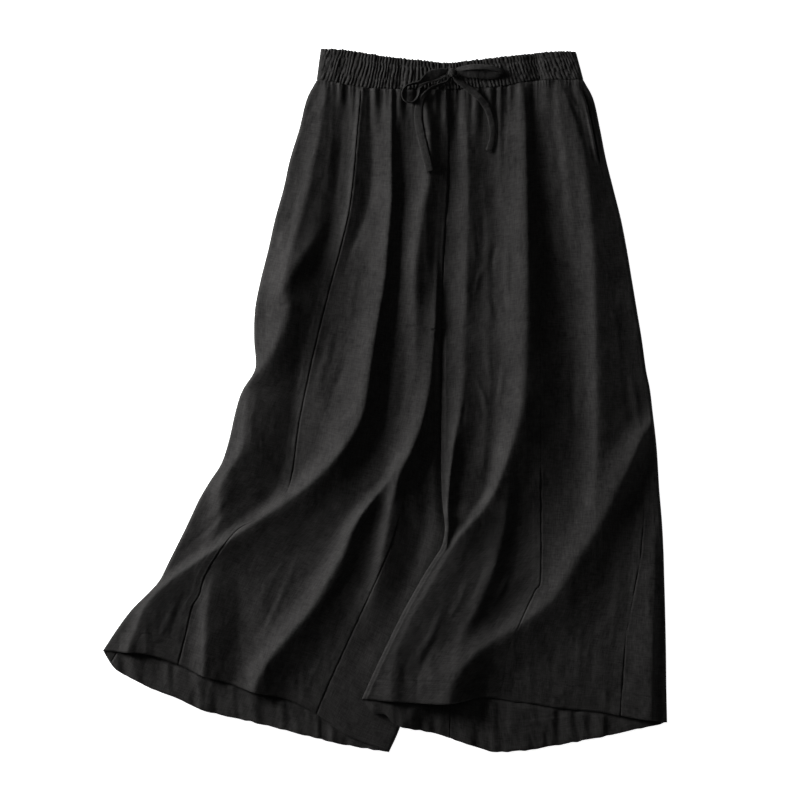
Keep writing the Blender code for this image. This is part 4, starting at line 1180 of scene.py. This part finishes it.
def gathered(place, up):
    """How high the band's gathers stand, from 0 in a crease to 1 on a fold."""
    lean = np.interp(place, LEAN_PLACE, LEAN)
    zone = smooth_step((up - 0.22) / 0.14) + smooth_step((up - 0.70) / 0.14)
    wander = 0.3 * crumple(40 * place, zone, 51) + 0.5 * crumple(16 * place, 0.0, 52)
    phase = BAND_GATHERS * place - lean * up + wander + 0.16 * crumple(45 * place, 5 * up, 54)
    ridge = np.abs(np.sin(math.pi * phase)) ** 0.8
    strength = 0.8 + 0.4 * crumple(phase * 0.9, 1.6 * zone, 53)
    most = np.interp(place, GATHERED_PLACE, GATHERED_MOST)
    mottled = (0.4 - 0.12 * most) * crumple(95 * place, 9 * up, 55) + 0.4 * (1 - most)
    return np.clip(most * ridge * strength + mottled, 0, 1.1)


def dipped(place):
    """How far the band sinks at each place across it."""
    return sum(
        depth * bell((place - at) / np.where(place < at, left, right))
        for at, depth, left, right in BAND_DIPS
    )


def band_plan(place, up):
    """x and y on the waistband, by place across it and up it."""
    low = BAND_BOTTOM[0][0] + (BAND_BOTTOM[-1][0] - BAND_BOTTOM[0][0]) * place
    high = BAND_TOP[0][0] + (BAND_TOP[-1][0] - BAND_TOP[0][0]) * place
    bottom = np.stack([low, across(BAND_BOTTOM, low)], axis=-1)
    top = np.stack([high, across(BAND_TOP, high)], axis=-1)
    return bottom + (top - bottom) * up[..., None]


def band_run(places, level, ruffle):
    """A run of the waistband from its top edge down, at a level and with gathers of a height."""
    place, up = np.broadcast_arrays(places[None], band_up[:, None])
    plan = band_plan(place, up)
    full = np.interp(up, FULL_UP, FULLNESS)
    ends = smooth_step(np.minimum(place, 1 - place) * 40)
    stand = gathered(place, up)
    z = level + ruffle * full * stand * ends
    z = z - 0.45 * ruffle * (1 - smooth_step((1 - up) / 0.05))
    z = z - 0.35 * ruffle * (1 - smooth_step(up / 0.04))
    plan[..., 1] += 1.5 * (stand - 0.6) * smooth_step((up - 0.84) / 0.16) * ends
    return Run(np.dstack([plan, np.maximum(z, 0.0)]))


band_up = np.linspace(1, 0, BAND_ROW_COUNT)
band_inset = EDGE_DEPTH / (BAND_BOTTOM[-1][0] - BAND_BOTTOM[0][0])
band_tuck = 2.2 * band_inset
band_right_tuck = band_run(np.linspace(band_tuck, band_inset, TUCK_COLUMNS), 0.0, 0.0)
band_places = np.linspace(band_inset, 1 - band_inset, BAND_COLUMNS)
band_face = band_run(band_places, BAND_LEVEL - dipped(band_places), BAND_RUFFLE)
band_left_tuck = band_run(np.linspace(1 - band_inset, 1 - band_tuck, TUCK_COLUMNS), 0.0, 0.0)
band_ends = [band_plan(np.full(BAND_ROW_COUNT, end), band_up) for end in (0.0, 1.0)]
band_runs = [
    band_right_tuck, bend(band_ends[0], band_right_tuck, band_face), band_face,
    bend(band_ends[1], band_face, band_left_tuck), band_left_tuck,
]
band_linen = linen("waistband_linen", roughness=0.74)


def band_shell(node, runs):
    """One side of the waistband, which stands for a node of the garment."""
    points = np.concatenate([run.points for run in runs], axis=1)
    inner = points - BAND_CLOTH * upright_at_seams(facing_out(points)[::-1])[::-1]
    grain = points[..., :2] * (BAND_FULLNESS, 1.0)
    first_row = np.zeros(points.shape[1], int)
    piece = shell(node + "_cloth", points, inner, grain, first_row, band_linen)
    return worn(piece, node)


waistband_front = band_shell("waistband_front", band_runs)

# ------------------------------------------------------------------ back of the waistband
# The other side of the casing, gathered in the same way. It lies flat under the front.

BACK_RUFFLE = 0.9
BACK_COLUMNS = 420
BACK_GAP = 0.001

back_end = band_tuck + BACK_GAP
band_back_run = band_run(
    np.linspace(1 - back_end, back_end, BACK_COLUMNS), BACK_RUFFLE, -BACK_RUFFLE
)
waistband_back = band_shell("waistband_back", [band_back_run])

# ------------------------------------------------------------------ stitching
# Black polyester thread: two rows through the elastic, a row above each front hem, and a short
# row of topstitches down the centre front, below the knot. Each stitch is a short rounded loop.

THREAD_RADIUS = 0.26
STITCH_SIDES = 6
STITCH_LIFT = 0.08
# Pitch and length of a stitch of the band and the topstitching, and of the hems
BAND_STITCH, HEM_STITCH = (3.4, 2.2), (3.6, 2.3)
# How far along a stitch each ring lies, and its share of the thread's girth
STITCH_PROFILE = ((-0.5, 0.3), (-0.36, 1.0), (0.36, 1.0), (0.5, 0.3))
TOPSTITCH_TOP, TOPSTITCH_BOTTOM = 362.0, 324.0
TOPSTITCH_COLUMN = 5


def tubes(name, rings, material, node=None):
    """Closed tubes, each a stack of rings of points, joined into one piece."""
    verts, faces, uvs = [], [], []
    for stack in rings:
        first, sides = len(verts), stack.shape[1]
        verts.extend(map(tuple, stack.reshape(-1, 3) * MM))
        steps = np.linalg.norm(np.diff(stack.mean(axis=1), axis=0), axis=1)
        for ring, travelled in zip(stack, np.append(0, np.cumsum(steps))):
            girth = np.linalg.norm(ring[0] - ring[1]) * np.arange(sides)
            uvs.extend((around * MM, travelled * MM) for around in girth)
        last = len(verts) - sides
        for ring_start in range(first, last, sides):
            for side in range(sides):
                a, b = ring_start + side, ring_start + (side + 1) % sides
                faces.append((a, b, b + sides, a + sides))
        faces.append(tuple(reversed(range(first, first + sides))))
        faces.append(tuple(range(last, last + sides)))
    mesh = bpy.data.meshes.new(name)
    mesh.from_pydata(verts, [], faces)
    fresh = bmesh.new()
    fresh.from_mesh(mesh)
    bmesh.ops.recalc_face_normals(fresh, faces=fresh.faces[:])
    fresh.to_mesh(mesh)
    fresh.free()
    corners = np.zeros(len(mesh.loops), np.int32)
    mesh.loops.foreach_get("vertex_index", corners)
    mesh.uv_layers.new(name="grain").data.foreach_set("uv", np.array(uvs)[corners].ravel())
    mesh.shade_smooth()
    mesh.materials.append(material)
    return worn(placed(name, mesh), node)


def unit(vectors):
    """Vectors of length 1."""
    return vectors / np.linalg.norm(vectors, axis=-1, keepdims=True)


def ring_stack(centres, sides_of, ups_of, widths, thicknesses, sides, square=1.0):
    """Rings of points along a line, each a flattened round in the plane across the line."""
    turn = np.arange(sides) / sides * 2 * math.pi - 0.5 * math.pi
    wide = np.sign(np.cos(turn)) * np.abs(np.cos(turn)) ** square
    high = np.sign(np.sin(turn)) * np.abs(np.sin(turn)) ** square
    sideways = sides_of[:, None] * (wide[None] * np.asarray(widths)[:, None] / 2)[..., None]
    upwards = ups_of[:, None] * (high[None] * np.asarray(thicknesses)[:, None] / 2)[..., None]
    return centres[:, None] + sideways + upwards


def stitch_rings(line, pitch, length):
    """Stitches one after another along a line that lies on the cloth."""
    steps = np.linalg.norm(np.diff(line, axis=0), axis=1)
    run = np.append(0, np.cumsum(steps))
    stacks = []
    for middle in np.arange(pitch, run[-1] - pitch, pitch):
        reach = (middle - length / 2, middle + length / 2)
        ends = np.column_stack([np.interp(reach, run, axis) for axis in line.T])
        heading = unit(ends[1] - ends[0])
        side = unit(np.cross(heading, (0, 0, 1)))
        up = np.cross(side, heading)
        share, girth = np.array(STITCH_PROFILE).T
        centres = ends.mean(axis=0) + heading * (share * length)[:, None] + up * STITCH_LIFT
        sizes = 2 * THREAD_RADIUS * girth
        turned = [np.tile(way, (len(share), 1)) for way in (side, up)]
        stacks.append(ring_stack(centres, *turned, sizes, sizes, STITCH_SIDES))
    return stacks


thread = linen("stitching_thread", roughness=0.55, slubs=0.3, weave=0.0)
band_rings = []
for stitch_row in STITCH_ROWS:
    nearest_row = int(np.abs(band_up - stitch_row).argmin())
    band_rings += stitch_rings(band_face.points[nearest_row], *BAND_STITCH)
tubes("waistband_stitches", band_rings, thread)
hem_row = int(np.abs(ABOVE_HEM[:, 0] - HEM_SEWN).argmin())
hem_rings = []
for sewn in (outer_front, right_centre_run, left_centre_run, left_side_run, left_turned):
    hem_rings += stitch_rings(sewn.points[hem_row], *HEM_STITCH)
tubes("hem_stitches", hem_rings, thread)
topstitch = left_centre_run.points[:, TOPSTITCH_COLUMN]
topstitch = topstitch[(topstitch[:, 1] < TOPSTITCH_TOP) & (topstitch[:, 1] > TOPSTITCH_BOTTOM)]
tubes("centre_front_topstitch", stitch_rings(topstitch, *BAND_STITCH), thread)

# ------------------------------------------------------------------ drawstring
# A narrow tube of the same linen, pressed flat and tied in a bow over the waistband. Its loops and
# ends lie on the cloth, part flat and part on edge, and the ends are cut raw and have frayed.

KNOT_CENTRE = (80.5, 392.4, 11.6)
KNOT_SIZE = (6.3, 5.3, 3.2)
RIBBON_THICKNESS = 1.8
RIBBON_POINTS = 24
RIBBON_SIDES = 20
FRAY_COUNT, FRAY_RINGS, FRAY_SIDES = 15, 5, 5
FRAY_SIZE = (0.42, 0.2)
# Routes from the knot: x, y, height above the cloth below, width, and tilt towards its edge
RIBBONS = {
    "right_loop": [
        (75.5, 395.2, 1.2, 5.0, 20), (72.6, 394.6, 1.4, 6.5, 14), (64, 392, 2.6, 10.5, 12),
        (55, 388.8, 3.4, 12.0, 14), (48, 384.6, 4, 9.4, 28), (41.5, 380.4, 4, 6.5, 60),
        (33, 379, 2, 7.5, 78), (25, 375.6, 0, 8.5, 84), (20.6, 368.5, 0, 9.0, 85),
        (22, 360.5, 0, 9.0, 85), (29, 356.6, 0, 9.0, 84), (36, 359.4, 0, 8.0, 78),
        (39.6, 366.5, 0, 7.0, 66), (41, 373.5, 0, 5.5, 50), (47, 379, 0, 4.5, 40),
        (57, 382.4, 0, 4.5, 56), (66.5, 385.6, 0, 4.5, 56), (73, 389.4, 0.6, 4.5, 45),
    ],
    "left_loop": [
        (86.0, 395.8, 1.2, 5.0, 24), (88.1, 396.4, 1.4, 6.0, 28), (100, 398.4, 3.4, 7.6, 34),
        (116, 398.8, 3.8, 7.6, 36), (130, 397.4, 2.2, 7.4, 34), (140, 393.4, 0.4, 6.0, 40),
        (139.5, 389.2, 0, 6.5, 44), (130, 389.4, 0, 10.0, 26), (116, 390.6, 0, 11.4, 18),
        (102, 391, 0.4, 10.2, 20), (88.2, 391.4, 1, 5.5, 30),
    ],
    "right_end": [
        (78.6, 387.5, 0, 4.5, 40), (77.4, 385, 0, 4.5, 46), (73.5, 381.3, 0, 4.5, 50),
        (66, 378.6, 0, 4.5, 52), (55, 373, 0, 4.8, 46), (46.5, 364.5, 0, 6.5, 20),
        (41, 354, 0, 8.8, 0), (39.6, 340, 0, 9.8, -4), (41.5, 324.5, 0, 9.8, -4),
        (47, 300.5, -0.3, 9.8, -3), (54, 274, -1, 8.8, -2),
    ],
    "left_end": [
        (82.6, 387.5, 0, 4.5, 26), (83.8, 385, 0, 5.0, 28), (87.5, 381.6, 0, 6.0, 28),
        (94, 377.5, 0, 7.2, 22), (103, 371, 0, 8.4, 14), (114, 362, 0, 8.8, 6),
        (123, 349, 0, 8.4, 2), (128.5, 330, 0, 8.0, 4), (129, 315, 0, 7.4, 8),
        (126, 304, 0, 7.8, 6), (124.5, 299.5, 0, 8.2, 4),
    ],
}
# Each stretch's real length, in metres, and what is on its far end
RIBBON_LENGTHS = {
    "right_loop": (0.142, "object"), "left_loop": (0.110, "object"),
    "right_end": (0.132, "bare"), "left_end": (0.106, "bare"),
}


def cloth_under(x, y):
    """The height of the garment's upper face below the bow."""
    body = np.where(x < CENTRE_LINE[0][0], right_relief.at(x, y), left_relief.at(x, y))
    band = BAND_LEVEL + BAND_RUFFLE
    return np.where(y > across(BAND_BOTTOM, x) - 2, np.maximum(band, body), body)


def ribbon_route(table):
    """Points along a stretch of the drawstring: x, y, z, width and tilt."""
    x, y, above, width, tilt = along(table, np.linspace(0, 1, RIBBON_POINTS)).T
    around = [(0, 0), (3, 0), (-3, 0), (0, 3), (0, -3)]
    level = np.max([cloth_under(x + dx, y + dy) for dx, dy in around], axis=0)
    level[1:-1] = np.maximum(level[1:-1], 0.5 * (level[:-2] + level[2:]))
    level[1:-1] = 0.25 * level[:-2] + 0.5 * level[1:-1] + 0.25 * level[2:]
    lean = np.radians(tilt)
    half = 0.5 * (width * np.abs(np.sin(lean)) + RIBBON_THICKNESS * np.cos(lean))
    return np.column_stack([x, y, level + half + 0.2 + 0.8 * above, width, tilt])


def ribbon_rings(route, seed):
    """The flattened tube along a route, softly crumpled and turned by its tilt."""
    line = curve(route, steps=5)
    centres, width, lean = line[:, :3], line[:, 3], np.radians(line[:, 4])
    heading = unit(np.gradient(centres, axis=0))
    side = unit(np.cross(heading, (0.0, 0.0, 1.0)))
    up = np.cross(side, heading)
    tilted_side = side * np.cos(lean)[:, None] + up * np.sin(lean)[:, None]
    tilted_up = up * np.cos(lean)[:, None] - side * np.sin(lean)[:, None]
    step = np.arange(len(line))
    width = width * (1 + 0.06 * crumple(step / 4, 0.0, seed))
    thick = RIBBON_THICKNESS * (1 + 0.2 * crumple(step / 3, 0.0, seed + 1))
    rings = ring_stack(centres, tilted_side, tilted_up, width, thick, RIBBON_SIDES, 0.75)
    turn = np.arange(RIBBON_SIDES) / RIBBON_SIDES * 2 * math.pi
    dents = 0.16 * crumple(step[:, None] / 3.5, 3 * np.sin(turn)[None] + 3, seed + 2)
    return rings + dents[..., None] * tilted_up[:, None]


def frayed_tip(route, seed):
    """Short loose threads at a raw end."""
    draws = np.random.default_rng(seed)
    end, before = route[-1, :3], route[-2, :3]
    heading = unit(end - before)
    side = np.cross(heading, (0.0, 0.0, 1.0))
    stacks = []
    for place in np.linspace(-0.46, 0.46, FRAY_COUNT):
        reach = draws.uniform(1.6, 4.2)
        sway = draws.uniform(-0.9, 0.9)
        root = end + side * place * route[-1, 3] - heading * 0.6 + (0, 0, draws.uniform(-0.6, 0.6))
        t = np.linspace(0, 1, FRAY_RINGS)[:, None]
        centres = root + heading * reach * t + side * sway * t**2 - np.array((0, 0, 0.7)) * t**2
        turned = [np.tile(way, (FRAY_RINGS, 1)) for way in (side, np.cross(side, heading))]
        sizes = np.linspace(*FRAY_SIZE, FRAY_RINGS)
        stacks.append(ring_stack(centres, *turned, sizes, sizes, FRAY_SIDES))
    return stacks


cord_linen = linen("drawstring_linen", roughness=0.68, slubs=0.8)
knot_ball = bmesh.new()
bmesh.ops.create_uvsphere(knot_ball, u_segments=72, v_segments=40, radius=1)
for vert in knot_ball.verts:
    across_knot, up_knot, _ = vert.co
    slant = across_knot * 0.94 + up_knot * 0.34
    wrap = float(bell(slant / 0.62) ** 0.5)
    groove = -0.09 * float(bell((abs(slant) - 0.62) / 0.16))
    creases = 0.035 * math.sin(13 * slant + 3 * up_knot) * wrap
    creases += 0.03 * math.sin(17 * up_knot + 5 * across_knot)
    swell = 0.86 + 0.17 * wrap + groove + creases
    vert.co = [
        (middle + way * reach * swell) * MM
        for middle, way, reach in zip(KNOT_CENTRE, vert.co, KNOT_SIZE)
    ]
knot_mesh = bpy.data.meshes.new("drawstring_knot_cloth")
knot_ball.to_mesh(knot_mesh)
knot_ball.free()
knot_uv = knot_mesh.uv_layers.new(name="grain")
for loop in knot_mesh.loops:
    knot_uv.data[loop.index].uv = knot_mesh.vertices[loop.vertex_index].co.xy
knot_mesh.shade_smooth()
knot_mesh.materials.append(cord_linen)
worn(placed("drawstring_knot_cloth", knot_mesh), "drawstring_knot")
for number, (part_name, table_rows) in enumerate(RIBBONS.items()):
    route = ribbon_route(table_rows)
    length, far_end = RIBBON_LENGTHS[part_name]
    node = "drawstring_" + part_name
    rings = ribbon_rings(route, 70 + 5 * number)
    strip = tubes(node + "_ribbon", [rings], cord_linen, node)
    frays = []
    if far_end == "bare":
        threads = frayed_tip(route, 90 + number)
        frays = [tubes(node + "_fray", threads, cord_linen)]
